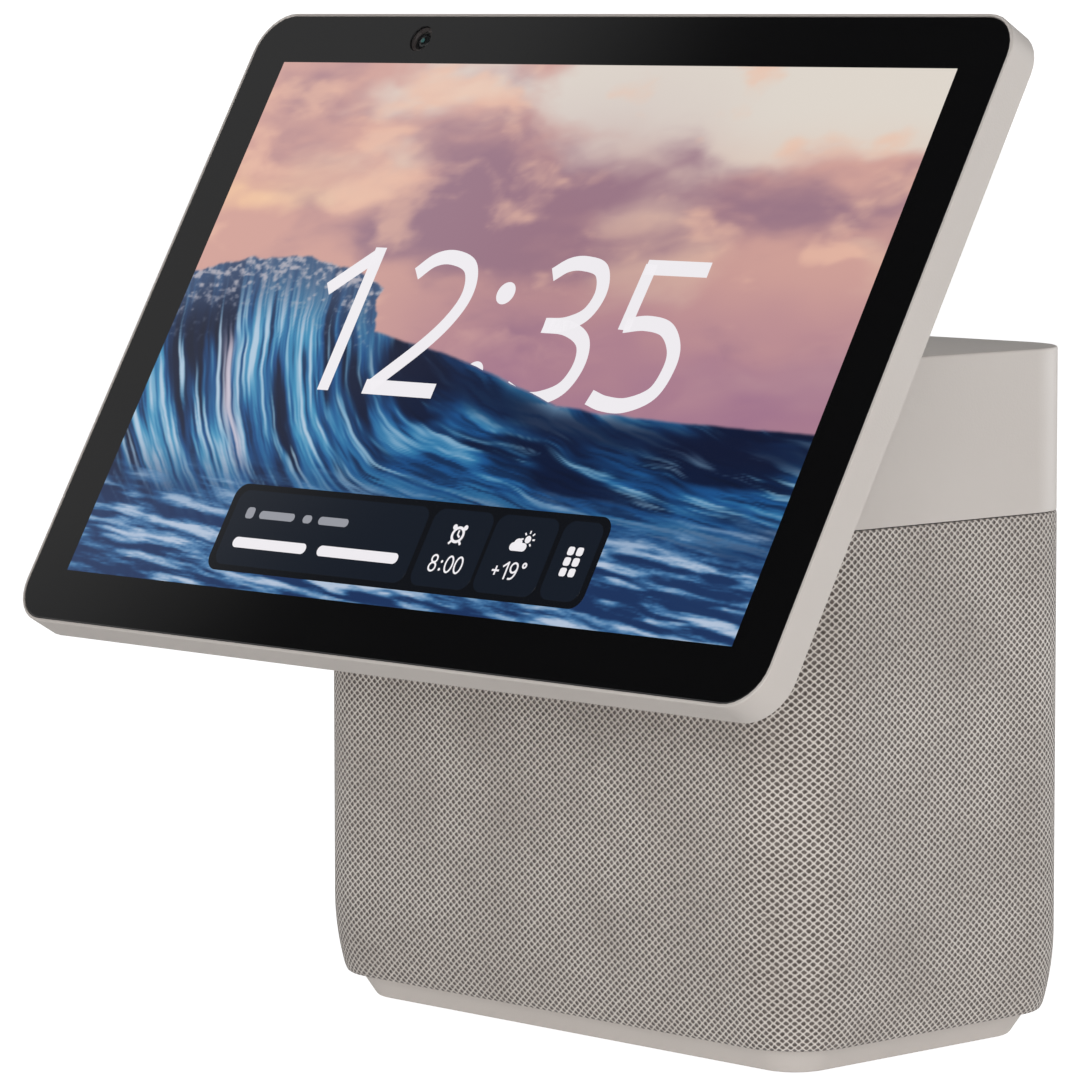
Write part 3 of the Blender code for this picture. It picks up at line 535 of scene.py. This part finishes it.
def curve(points, cells=9):
    """A smooth line through points: cubic arcs, level with the chord of their neighbours."""
    knots = np.array(points, float)
    knots = np.vstack([2 * knots[0] - knots[1], knots, 2 * knots[-1] - knots[-2]])
    a, b, c, d = (knots[i:len(knots) - 3 + i, None] for i in range(4))
    t = np.linspace(0, 1, cells, endpoint=False)[None, :, None]
    arcs = b + (c - a) * t / 2 + (2 * a - 5 * b + 4 * c - d) * t**2 / 2
    arcs = arcs + (3 * b - 3 * c + d - a) * t**3 / 2
    return np.vstack([arcs.reshape(-1, 2), knots[-2:-1]])


def ribbon(path, width, low, high):
    """A flat strip of even width along a path in a plane, between two levels above it.

    A path that comes back to its start makes a closed ring.
    """
    path = np.array(path, float)
    ringed = np.allclose(path[0], path[-1])
    if ringed:
        path = path[:-1]
        along = np.roll(path, -1, axis=0) - np.roll(path, 1, axis=0)
    else:
        along = np.gradient(path, axis=0)
    along /= np.linalg.norm(along, axis=1, keepdims=True)
    side = np.stack([-along[:, 1], along[:, 0]], 1) * width / 2
    edges = [(path + side, high), (path - side, high), (path - side, low), (path + side, low)]
    walls = [np.column_stack([line, np.full(len(line), level)]) for line, level in edges]
    return woven(np.stack(walls, 1), loop=ringed)


dressed("upper_shell", shell_plastic, 25.0)
ink = textured(
    "grey_ink", tone(120, 113, 108), tone(132, 125, 120),
    roughness=0.5, patch=0.003, grain=0.0004, depth=0.000005,
)
dish_radii = np.linspace(0.0004, DISH_RADIUS, 8)
dish = [(r, DISH_FLOOR + DISH_DEPTH * (r / DISH_RADIUS) ** 2) for r in dish_radii]
cap = dish + [  # radius and height: the dish, the rim, the wall, then the flange and the stem
    (0.00578, 0.00027), (0.00590, 0.00016), (BUTTON_RADIUS, -0.00004), (BUTTON_RADIUS, -0.0029),
    (0.0072, -0.0029), (0.0072, -0.0040), (0.0020, -0.0040), (0.0020, -0.0067),
]
bar = [(-ICON_SPAN, 0.0), (ICON_SPAN, 0.0)]
icons = {
    "volume_down": [bar],
    "mute": [
        curve([(-0.0007, 0.0002), (-0.0007, 0.0016), (-0.0005, 0.0022), (0.0, 0.00245),
               (0.0005, 0.0022), (0.0007, 0.0016), (0.0007, 0.0002), (0.0005, -0.0004),
               (0.0, -0.00065), (-0.0005, -0.0004), (-0.0007, 0.0002)]),
        curve([(-0.0016, 0.0003), (-0.0014, -0.0008), (-0.0008, -0.0015), (0.0, -0.00175),
               (0.0008, -0.0015), (0.0014, -0.0008), (0.0016, 0.0003)]),
        [(0.0, -0.0017), (0.0, -0.0026)],
        [(-0.0021, 0.0021), (0.0021, -0.0021)],
    ],
    "volume_up": [bar, [(0.0, -ICON_SPAN), (0.0, ICON_SPAN)]],
}
for number, (body, strokes) in enumerate(icons.items(), -1):
    middle = (number * BUTTON_PITCH, BUTTON_Y, TOP_Z)
    piece(
        body + "_key", [turned(cap[::-1], middle)], body, shell_plastic,
        (body + "_button",),
    )
    marks = [ribbon(path, ICON_WIDTH, *ICON_LEVELS) for path in strokes]
    marks = [(points + np.array(middle), faces) for points, faces in marks]
    piece(body + "_icon", marks, body, ink)


# ---------------------------------------------------------------- electronics
# Green fibreglass boards with their parts under tin cans: the main board with its finned
# aluminium heat sink, the keys' board, the antenna's, and the screen's behind the panel.
circuit_board = textured(
    "circuit_board", tone(18, 78, 44), tone(30, 104, 60),
    roughness=0.42, patch=0.003, grain=0.0012, depth=0.00004,
)
for node in ("main_board", "button_board", "antenna_board", "display_board"):
    dressed(node, circuit_board)
dressed("heat_sink", aluminium)


# ---------------------------------------------------------------- friction hinge
# A steel bracket on the speaker's lid holds a shaft between sprung washers. The arm's barrel
# turns on it, and a plastic shroud hides the arm.
for node in (
    "hinge_bracket", "hinge_shaft", "left_friction_washer", "right_friction_washer",
    "left_shaft_nut", "right_shaft_nut", "hinge_arm",
):
    dressed(node, steel)
for number in (1, 2, 3, 4):
    dressed(f"bracket_screw_{number}", steel)
    dressed(f"arm_screw_{number}", steel)
dressed("neck_shroud", shell_plastic)


# ---------------------------------------------------------------- screen housing
# A one-piece warm grey surround with softened edges, moulded in the shell's plastic, and a
# rear cover of the same that clips into it and closes it.
dressed("display_frame", shell_plastic, 30.0)
dressed("display_rear_cover", shell_plastic)


# ---------------------------------------------------------------- screen stack
# Behind the glass lie the liquid crystal panel, bonded to it, then its white plastic
# backlight, and a stamped steel plate that stiffens them and takes the hinge arm's screws.
diffuser = textured(
    "diffuser", tone(226, 226, 224), tone(240, 240, 238),
    roughness=0.6, patch=0.01, grain=0.002, depth=0.00003,
)
lcd = textured(
    "lcd_panel", tone(20, 21, 24), tone(26, 27, 31),
    roughness=0.3, patch=0.02, grain=0.001, depth=0.00001,
)
dressed("mid_plate", steel)
dressed("backlight", diffuser)
dressed("lcd_panel", lcd)


# ---------------------------------------------------------------- cover glass
# One sheet of glass, printed black from behind outside the lit area, polished in front, and
# glued into the surround. A small round window is left clear for the camera.
GLASS_WIDTH, GLASS_HEIGHT, GLASS_CORNER = 0.24165, 0.16090, 0.0095
AXIS_Y, AXIS_Z, CENTRE_ABOVE, LEAN = -0.0400, 0.1480, 0.0007, math.radians(30.0)
GLASS_FRONT, GLASS_BACK = 0.02592, 0.0249
CAMERA_X, CAMERA_UP, WINDOW_RADIUS, WINDOW_PAST = -0.0635, 0.0744, 0.0034, 0.001
POLISHED_BLACK, POLISH = tone(15, 15, 16), 0.06


def on_screen(points):
    """Points given rightwards, upwards from the lit area's middle and outwards, in place."""
    x, up, out = points[..., 0], points[..., 1] + CENTRE_ABOVE, points[..., 2]
    y = AXIS_Y + up * math.sin(LEAN) - out * math.cos(LEAN)
    z = AXIS_Z + up * math.cos(LEAN) + out * math.sin(LEAN)
    return np.stack([x, y, z], -1)


black_glass, tree, shader, where = material("black_glass", POLISHED_BLACK, POLISH)
tree.links.new(between(tree, noise(tree, where, 0.05), 0.04, 0.09), shader.inputs["Roughness"])
glass_outline = rim(GLASS_WIDTH, GLASS_HEIGHT, GLASS_CORNER, side_cells=8, corner_cells=24)
glass_rings = [
    (0.0001, GLASS_BACK), (0.0, GLASS_BACK + 0.0001), (0.0, GLASS_FRONT - 0.00025),
    (0.00008, GLASS_FRONT - 0.00008), (0.00025, GLASS_FRONT),
]
front_glass = piece(
    "front_glass", [woven(on_screen(lofted(*glass_outline, glass_rings)))], "display",
    black_glass, ("cover_glass",), 15.0,
)
window = [
    (WINDOW_RADIUS, GLASS_BACK - WINDOW_PAST), (WINDOW_RADIUS, GLASS_FRONT + WINDOW_PAST)
]
hole, hole_faces = turned(window, (CAMERA_X, CAMERA_UP, 0.0))
carved(front_glass, "camera_window_hole", (on_screen(hole), hole_faces))


# ---------------------------------------------------------------- picture on the screen
# The lit panel seems to lie on the face of the bonded glass, so its picture is a thin glowing
# slab there, in a coarse grid for the sky and fine ones for the sea. The picture, a sea at
# dusk, is worked out in millimetres from the middle of the lit area.
ACTIVE_WIDTH, ACTIVE_HEIGHT = 0.21696, 0.13560
SKY_FOOT, SKY_CELL, SEA_CELL = 0.0170, 0.00070, 0.00034
PICTURE_FRONT, SLAB_DEPTH, SLAB_SKIRT = 0.02593, 0.00001, 0.00001
CREAM, WARM, PEACH, GLEAM = (222, 214, 204), (222, 178, 156), (246, 202, 160), (236, 190, 166)
ROSE, PLUM, MAUVE, LILAC = (206, 158, 150), (148, 114, 132), (152, 112, 128), (158, 114, 140)
NIGHT, BLUE, TURQUOISE, SPRAY = (10, 24, 54), (26, 82, 140), (64, 146, 186), (186, 204, 222)
FURROW, PALE_BAND, SLATE, FROTH = (8, 18, 42), (206, 194, 208), (62, 82, 116), (186, 180, 188)
NEAR_DARK, NEAR_BLUE, NEAR_LIGHT = (26, 50, 92), (62, 118, 168), (178, 194, 216)
FAR_DARK, SHORE = (13, 21, 48), 0.5
LATTICE = np.random.default_rng(12).random((64, 64))


def haze(x, y, octaves):
    """Noise from 0 to 1, summed over octaves that each halve the last one's size and weight.

    Each is random values on a square lattice, blended between its points by 3t^2 - 2t^3.
    """
    total = np.zeros(np.broadcast(x, y).shape)
    for octave in range(octaves):
        far_x, far_y = x * 2**octave + 17.3 * octave, y * 2**octave + 9.1 * octave
        column, row = np.floor(far_x).astype(int), np.floor(far_y).astype(int)
        a, b = far_x - column, far_y - row
        a, b = a * a * (3 - 2 * a), b * b * (3 - 2 * b)
        row, next_row = row % 64, (row + 1) % 64
        column, next_column = column % 64, (column + 1) % 64
        low = LATTICE[row, column] * (1 - a) + LATTICE[row, next_column] * a
        high = LATTICE[next_row, column] * (1 - a) + LATTICE[next_row, next_column] * a
        total += (low * (1 - b) + high * b) / 2**octave
    return total / (2 - 2.0 ** (1 - octaves))


def step(x, low, high):
    """A smooth ramp from 0 at low to 1 at high."""
    t = np.clip((x - low) / (high - low), 0, 1)
    return t * t * (3 - 2 * t)


def layered(base, colour, share):
    """A colour laid over another, by a share from 0 to 1 at each point."""
    share = np.clip(share, 0, 1)[..., None]
    return base * (1 - share) + np.array(colour, float) * share


def hump(x, y, at_x, at_y, wide, tall):
    """A smooth round patch, one in its middle and falling away over its half sizes."""
    return np.exp(-(((x - at_x) / wide) ** 2) - ((y - at_y) / tall) ** 2)


def dusk_sky(x, y):
    """Cream light high on the right, peach low on the left, and mauve cloud banks."""
    warp = 9 * (haze(x / 30 + 3, y / 22, 4) - 0.5)
    u, v = x + 1.6 * warp, y + warp
    sky = layered(np.zeros(x.shape + (3,)), CREAM, np.ones(x.shape))
    sky = layered(sky, WARM, step(v, 60, 22) * 0.8)
    sky = layered(sky, PEACH, hump(u, v, -108, 26, 34, 26))
    clear = hump(u, v, 66, 68, 58, 17)
    clear = clear + 0.8 * hump(u, v, 34, 30, 11, 9) + 0.5 * hump(u, v, 104, 24, 12, 8)
    bank = haze(u / 46 + 5.2, v / 20 + 2.4, 5) + 0.28 * step(u, 34, -30) + 0.30 * step(v, 40, 5)
    bank = bank + 0.55 * hump(u, v, 82, 37, 42, 13) - 0.55 * clear
    sky = layered(sky, ROSE, step(bank, 0.46, 0.76) * 0.94)
    core = 0.8 * haze(u / 34 + 11.7, v / 13 + 7.1, 5) + 0.06 + 0.62 * hump(u, v, 2, 28, 54, 19)
    core = core + 0.32 * hump(u, v, 84, 29, 30, 8) - 0.3 * clear
    core = core - 0.14 * hump(u, v, -108, 30, 30, 26)
    sky = layered(sky, PLUM, step(core, 0.50, 0.90) * 0.92)
    sky = layered(sky, MAUVE, 0.42 * hump(u, v, 12, 24, 40, 30))
    gleam = haze(u / 20 + 1.3, v / 9 + 5.5, 5) + 0.12 * hump(u, v, -50, 50, 60, 20)
    sky = layered(sky, GLEAM, step(gleam, 0.55, 0.80) * 0.62)
    low = step(v, 22, -14) * step(u, -64, 16)
    return layered(sky, LILAC, low * (0.55 + 0.45 * haze(u / 30, v / 8, 3)))


def swell_line(x):
    """The skyline of the sea: a long swell that falls away to the right."""
    places = (-44, -36, -8, 0, 12, 30, 45, 75, 110)
    heights = (-0.8, -2.0, -7.0, -9.0, -12.0, -17.0, -18.0, -18.9, -19.4)
    return np.interp(x, places, heights) + 0.8 * (haze(x / 7, 0 * x + 3.1, 4) - 0.5)


def crest_line(x):
    """The top of the breaking wave: a broad hump that ends at its lip."""
    return 16.0 - 0.0052 * (x + 76) ** 2 + 2.6 * (haze(x / 5.0, 0 * x + 8.7, 5) - 0.45)


def sea(x, y):
    """Streaks of light that drop down the hollow of the wave, then run out level.

    They follow lines of constant g(x) + ln(t), where t is the height above the trough and
    g rises fast behind the lip and slowly along the swell, so they fall as t over g'.
    """
    trough = 3 + 7 * np.log1p(np.exp((y + 48) / 7))
    reach = -0.0085 * (26 - x) - 0.0415 * 9 * np.log1p(np.exp(-(x + 30) / 9))
    along = x - 0.5 * y
    warp = 3.0 * (haze(along / 20, y / 14 + 4.4, 3) - 0.5)
    across = 21 * (reach + np.log(trough / 55)) + warp
    fine = haze(along / 22 + 2.2, across / 1.15, 3)
    broad = haze(along / 46 + 7.9, across / 5.5 + 1.7, 4)
    steep = step(x, -18, -50)
    hollow = hump(x, y, -66, -12, 26, 22)
    shade = hump(x, y, -22, -12, 19, 13) + 0.6 * hump(x, y, -97, -1, 16, 8)
    glance = hump(x, y, -80, -36, 26, 9) + 1.2 * hump(x, y, 92, -38, 34, 8)
    light = broad + 0.10 * hollow - 0.30 * shade + 0.12 * glance + 0.03
    water = layered(np.zeros(x.shape + (3,)), NIGHT, np.ones(x.shape))
    water = layered(water, BLUE, step(light, 0.38, 0.58) * 0.95)
    green = step(light * 0.5 + fine * 0.5, 0.47, 0.64) * (0.62 + 0.3 * steep)
    spray = step(fine * 0.8 + light * 0.3, 0.60, 0.80) * (0.55 + 0.35 * steep)
    water = layered(layered(water, TURQUOISE, green), SPRAY, spray)
    water = layered(water, FURROW, step(fine, 0.40, 0.22) * 0.55)
    band = np.exp(-(((across + 73) / 2.6) ** 2)) * step(y, 2, -10) * step(y, -44, -34)
    water = layered(water, PALE_BAND, band * step(fine, 0.34, 0.60) * 0.9)
    near = step(y, -32 - 0.02 * x, -54)
    chop = haze(x / 15 + 3.3, (y + 0.5 * warp + 0.1 * x) / 1.5 + 6.2, 5)
    water = layered(water, NEAR_DARK, near * 0.98)
    water = layered(water, NEAR_BLUE, step(chop + 0.06 * near, 0.44, 0.66) * near * 0.9)
    return layered(water, NEAR_LIGHT, step(chop + 0.10 * near, 0.60, 0.86) * near)


def picture(x, y):
    """The whole picture: sky, then the sea below the higher of the swell and the breaker."""
    lip = -37.3 - 0.36 * (y + 3) + 4.0 * (haze(y / 3.2, 0 * y + 1.4, 4) - 0.5)
    crest = crest_line(x)
    breaker = step(y, crest + SHORE, crest - SHORE) * step(x, lip + SHORE, lip - SHORE)
    swell = step(y, swell_line(x) + SHORE, swell_line(x) - SHORE)
    below = np.maximum(crest - y, 0)
    behind = step(x, -30, -40)
    water = layered(sea(x, y), SLATE, step(below, 20, 1) * 0.85 * behind)
    froth = haze(x / 1.7 + 8 + y / 7, y / 1.1, 4) + 0.20 * step(below, 14, 0)
    froth = step(froth, 0.58, 0.92) * step(below, 26, 2) * behind * 0.85
    water = layered(water, FROTH, froth)
    far = step(np.abs(y - swell_line(x) + 5), 7, 1) * step(x, -40, -24)
    water = layered(water, FAR_DARK, far * 0.8)
    wet = np.maximum(swell, breaker)[..., None]
    return dusk_sky(x, y) * (1 - wet) + water * wet


def lit(name, across, up, front, back, finish):
    """A thin closed slab of the picture over a grid of places, coloured at each point.

    The grid's edge is doubled, moved out by the skirt and set back to make the sides.
    """
    spread = np.array([-SLAB_SKIRT, SLAB_SKIRT])
    across, up = np.pad(across, 1, mode="edge"), np.pad(up, 1, mode="edge")
    across[:, [0, -1]] += spread
    up[[0, -1]] += spread[:, None]
    out = np.full(across.shape, front)
    out[[0, -1]], out[:, [0, -1]] = back, back
    points, faces = woven(on_screen(np.stack([across, up, out], -1)), around=False, ends=False)
    index = np.arange(across.size).reshape(across.shape)
    around = np.concatenate([index[0, :-1], index[:-1, -1], index[-1, :0:-1], index[:0:-1, 0]])
    faces.append(around[::-1].tolist())
    made = piece(name, [(points, faces)], "display", finish)
    light = linear(picture(across * 1000, up * 1000).clip(0, 255))
    colour = np.concatenate([light, np.ones(light.shape[:-1] + (1,))], -1)
    layer = made.data.color_attributes.new("picture", "FLOAT_COLOR", "POINT")
    layer.data.foreach_set("color", colour.reshape(-1).astype(np.float32))


lit_panel, tree, shader, _ = material("lit_panel", POLISHED_BLACK, POLISH)
shown = add(tree, "Attribute", attribute_name="picture").outputs["Color"]
tree.links.new(shown, shader.inputs["Emission Color"])
shader.inputs["Emission Strength"].default_value = 1.0
patches = {
    "screen_sky": (-ACTIVE_WIDTH / 2, ACTIVE_WIDTH / 2, SKY_FOOT, ACTIVE_HEIGHT / 2, SKY_CELL),
    "screen_sea_left": (-ACTIVE_WIDTH / 2, 0.0, -ACTIVE_HEIGHT / 2, SKY_FOOT, SEA_CELL),
    "screen_sea_right": (0.0, ACTIVE_WIDTH / 2, -ACTIVE_HEIGHT / 2, SKY_FOOT, SEA_CELL),
}
for name, (left, right, foot, head, cell) in patches.items():
    across = np.linspace(left, right, round((right - left) / cell) + 1)
    up = np.linspace(foot, head, round((head - foot) / cell) + 1)
    lit(name, *np.meshgrid(across, up), PICTURE_FRONT, PICTURE_FRONT - SLAB_DEPTH, lit_panel)


# ---------------------------------------------------------------- clock and tiles
# The clock's thin numerals, and a dark bar of tiles: a reminder, whose words are plain bars,
# an alarm, the weather, and a menu. The panel lights them, so each is a thin glowing plate
# that stands on the picture by a few hundredths of a millimetre.
CLOCK_HEIGHT, CLOCK_FOOT, CLOCK_STROKE = 0.0367, -0.0172, 0.10
CLOCK_NUMERALS = (("1", -0.0600), ("2", -0.0335), ("3", 0.0105), ("5", 0.0385))
COLON_X, COLON_LEVELS, COLON_SIZE = -0.0001, (0.0096, -0.0103), 0.0056
TILE_FRONT, SWELL_FRONT, INK = 0.02595, 0.02599, (PICTURE_FRONT, 0.02597)
SWELL_LEFT, SWELL_RIGHT, SWELL_DEPTH = -0.006, 0.032, 0.012
BAR_X, TILES_UP = -0.00015, -0.05275
BAR_WIDTH, BAR_HEIGHT, BAR_CORNER = 0.1227, 0.0218, 0.0036
TILE_HEIGHT, TILE_CORNER = 0.0187, 0.0030
TILES = ((-0.0275, 0.0640), (0.0158, 0.0190), (0.0361, 0.0194), (0.0534, 0.0120))
WORDS_UP, WORD_HEIGHT, WORDS = -0.0564, 0.0026, ((-0.0430, 0.0250), (-0.0132, 0.0268))
HINT_UP, HINT_HEIGHT = -0.0492, 0.0020
HINTS = ((-0.0444, 0.0120), (-0.0340, 0.0030), (-0.0252, 0.0100))
BADGE, BADGE_SIZE, BADGE_CORNER = (-0.0537, -0.0490), 0.0028, 0.0009
FIGURE_FOOT, FIGURE_HEIGHT, FIGURE_STROKE = -0.0585, 0.0042, 0.11
ALARM_TIME = (("8", 0.0105), ("0", 0.0155), ("0", 0.0185))
WARMTH = (("+", 0.0306), ("1", 0.0335), ("9", 0.0358), ("degree", 0.0392))
POINT_X, POINT_LEVELS, POINT_SIZE = 0.0143, (-0.0578, -0.0559), 0.0007
MENU_X, MENU_LEVELS = (0.0520, 0.0547), (-0.0504, -0.0529, -0.0554)
MENU_SIZE, MENU_CORNER = 0.0020, 0.0006
BELL, SUN, CLOUD = (0.0158, -0.0493), (0.0378, -0.0488), (0.0356, -0.0507)


def ring(centre, radius, steps=40, squeeze=1.0):
    """A circle, or an upright ellipse where it is squeezed, as a path back to its start."""
    angle = np.linspace(0, 2 * np.pi, steps + 1)
    across, up = squeeze * radius * np.cos(angle), radius * np.sin(angle)
    return np.stack([centre[0] + across, centre[1] + up], 1)


def plate(centre, width, height, corner, low, high):
    """A thin rounded plate, with its upper edge eased."""
    corner = min(corner, 0.499 * width, 0.499 * height)
    points, outward = rim(width, height, corner, 2, 8)
    ease = 0.3 * (high - low)
    rings = [(0.0, low), (0.0, high - ease), (ease, high)]
    made = lofted(points, outward, rings)
    return woven(made + np.array([centre[0], centre[1], 0.0]))


numerals = {
    "0": [ring((0.30, 0.50), 0.455, 40, 0.57)],
    "1": [[(0.02, 0.695), (0.36, 0.955)], [(0.357, 1.0), (0.357, 0.0)]],
    "2": [
        curve([(0.05, 0.83), (0.17, 0.93), (0.32, 0.955), (0.50, 0.90), (0.575, 0.75),
               (0.54, 0.58), (0.39, 0.37), (0.05, 0.05)]),
        [(0.0, 0.045), (0.63, 0.045)],
    ],
    "3": [
        curve([(0.05, 0.87), (0.16, 0.94), (0.29, 0.955), (0.45, 0.915), (0.52, 0.77),
               (0.47, 0.62), (0.32, 0.545), (0.15, 0.53)]),
        curve([(0.15, 0.53), (0.36, 0.52), (0.53, 0.44), (0.58, 0.29), (0.52, 0.13),
               (0.36, 0.05), (0.20, 0.04), (0.03, 0.10)]),
    ],
    "5": [
        [(0.05, 0.95), (0.577, 0.95)],
        [(0.09, 0.97), (0.072, 0.53)],
        curve([(0.065, 0.56), (0.24, 0.582), (0.42, 0.55), (0.54, 0.43), (0.565, 0.29),
               (0.51, 0.13), (0.33, 0.045), (0.15, 0.045), (0.01, 0.08)]),
    ],
    "8": [ring((0.30, 0.745), 0.205, 40, 1.0), ring((0.30, 0.285), 0.24, 40, 1.02)],
    "9": [
        ring((0.30, 0.68), 0.27, 40, 0.9),
        curve([(0.543, 0.68), (0.54, 0.45), (0.46, 0.20), (0.30, 0.06), (0.10, 0.05)]),
    ],
    "+": [[(0.0, 0.45), (0.52, 0.45)], [(0.26, 0.19), (0.26, 0.71)]],
    "degree": [ring((0.18, 0.86), 0.12, 24)],
}


def numeral(name, place, tall, width):
    """A numeral's strokes, from its lower left corner, its height and a share for its stroke."""
    paths = [np.array(place) + tall * np.array(path) for path in numerals[name]]
    return [ribbon(path, width * tall, *INK) for path in paths]


def pill(x, up, width, height):
    """A plate with round ends, or a round dot where it is as wide as it is high."""
    return plate((x, up), width, height, height / 2, *INK)


def on_glass(shapes):
    """Flat shapes set down on the screen."""
    return [(on_screen(points), faces) for points, faces in shapes]


def glowing(name, colour):
    """A part of the picture of one plain colour, under the same polish as the glass."""
    made, _, shader, _ = material(name, POLISHED_BLACK, POLISH)
    shader.inputs["Emission Color"].default_value = colour
    shader.inputs["Emission Strength"].default_value = 1.0
    return made


white_light = glowing("white_light", tone(238, 235, 239))
clock = []
for name, x in CLOCK_NUMERALS:
    clock += numeral(name, (x, CLOCK_FOOT), CLOCK_HEIGHT, CLOCK_STROKE)
clock += [pill(COLON_X, level, COLON_SIZE, COLON_SIZE) for level in COLON_LEVELS]
piece("screen_clock", on_glass(clock), "display", white_light)

# The clock stands behind the swell, so a strip of the sea is laid over the clock's foot.
across = np.linspace(SWELL_LEFT, SWELL_RIGHT, 130)[None] + np.zeros((24, 1))
up = swell_line(across * 1000) / 1000 - np.linspace(0.0, SWELL_DEPTH, 24)[::-1, None]
lit("screen_swell", across, up, SWELL_FRONT, PICTURE_FRONT, lit_panel)

bar_light = glowing("bar_light", tone(9, 12, 18))
tile_light = glowing("tile_light", tone(18, 25, 36))
grey_light = glowing("grey_light", tone(150, 152, 160))
bar = plate(
    (BAR_X, TILES_UP), BAR_WIDTH, BAR_HEIGHT, BAR_CORNER, PICTURE_FRONT, TILE_FRONT - SLAB_DEPTH
)
piece("screen_bar", on_glass([bar]), "display", bar_light)
tiles = [
    plate((x, TILES_UP), wide, TILE_HEIGHT, TILE_CORNER, PICTURE_FRONT, TILE_FRONT)
    for x, wide in TILES
]
piece("screen_tiles", on_glass(tiles), "display", tile_light)

hints = [pill(x, HINT_UP, wide, HINT_HEIGHT) for x, wide in HINTS]
hints.append(plate(BADGE, BADGE_SIZE, BADGE_SIZE, BADGE_CORNER, *INK))
marks = [pill(x, WORDS_UP, wide, WORD_HEIGHT) for x, wide in WORDS]
for name, x in ALARM_TIME:
    marks += numeral(name, (x, FIGURE_FOOT), FIGURE_HEIGHT, FIGURE_STROKE)
marks += [pill(POINT_X, level, POINT_SIZE, POINT_SIZE) for level in POINT_LEVELS]
for name, x in WARMTH:
    marks += numeral(name, (x, FIGURE_FOOT), FIGURE_HEIGHT, FIGURE_STROKE)
marks += [
    plate((x, level), MENU_SIZE, MENU_SIZE, MENU_CORNER, *INK)
    for level in MENU_LEVELS for x in MENU_X
]

# The alarm is a ring with two hands, two feet and two bells.
x, up = BELL
marks.append(ribbon(ring(BELL, 0.0017), 0.0007, *INK))
marks.append(ribbon([(x, up + 0.0011), BELL, (x + 0.0008, up - 0.0006)], 0.0005, *INK))
for side in (-1, 1):
    leg = [(x + side * 0.0012, up - 0.0015), (x + side * 0.0019, up - 0.0023)]
    marks += [ribbon(leg, 0.0006, *INK), pill(x + side * 0.0017, up + 0.0018, 0.0013, 0.0013)]

# The weather is a sun with eight rays over a cloud.
marks.append(pill(*SUN, 0.0018, 0.0018))
for turn in np.radians(np.arange(0, 360, 45)):
    ray = np.array([np.cos(turn), np.sin(turn)])
    marks.append(ribbon([SUN + 0.0014 * ray, SUN + 0.0021 * ray], 0.0004, *INK))
marks.append(pill(*CLOUD, 0.0052, 0.0020))
marks.append(pill(CLOUD[0] - 0.0004, CLOUD[1] + 0.0007, 0.0026, 0.0026))
piece("screen_marks", on_glass(marks), "display", white_light)
piece("screen_words", on_glass(hints), "display", grey_light)


# ---------------------------------------------------------------- camera and its shutter
# A camera module is screwed down behind the glass, and a plastic blade slides across before
# it. A front element, a teal disc in its middle that is a painted glint, and a moulded
# surround are bonded behind the clear window in the printed black, and a pane fills the window.
ELEMENT_STEPS = 48
lens_black = material("lens_black", tone(9, 15, 17), 0.05)[0]
# The teal of the lens's middle is a painted glint.
lens_glint_paint = material("lens_glint_paint", tone(78, 132, 130), 0.12)[0]
surround = textured(
    "lens_surround", tone(66, 59, 57), tone(76, 68, 66),
    roughness=0.5, patch=0.002, grain=0.0003, depth=0.00001,
)
clear_glass, _, shader, _ = material("clear_glass", tone(40, 40, 42), 0.05)
shader.inputs["Alpha"].default_value = 0.10
dressed("camera_module", dark_plastic)
dressed("camera_lens", lens_black)
dressed("camera_shutter", dark_plastic)


def set_in_glass(name, profile, finish, loop=False):
    """A turned piece on the camera's axis, from a profile of radius and height outwards."""
    points, faces = turned(profile, (CAMERA_X, CAMERA_UP, 0.0), ELEMENT_STEPS, loop)
    piece(name, [(on_screen(points), faces)], "display", finish)


set_in_glass("front_element", [
    (0.0017, 0.02440), (0.0017, 0.02470), (0.0014, 0.02500), (0.0008, 0.02516), (0.0003, 0.02520),
], lens_black)
# A small teal disc in the lens's middle: a painted glint.
set_in_glass("lens_glint_disc", [
    (0.0006, 0.02500), (0.0006, 0.02522), (0.0004, 0.02530), (0.0002, 0.02532),
], lens_glint_paint)
set_in_glass("lens_surround", [
    (0.0024, 0.02470), (WINDOW_RADIUS - 0.0001, 0.02470), (WINDOW_RADIUS - 0.0001, 0.02535),
    (0.0026, 0.02535), (0.0024, 0.02515),
], surround, loop=True)
set_in_glass("camera_pane", [
    (WINDOW_RADIUS, 0.02560), (WINDOW_RADIUS, GLASS_FRONT - 0.00006),
    (WINDOW_RADIUS - 0.00006, GLASS_FRONT - 0.00001),
], clear_glass)
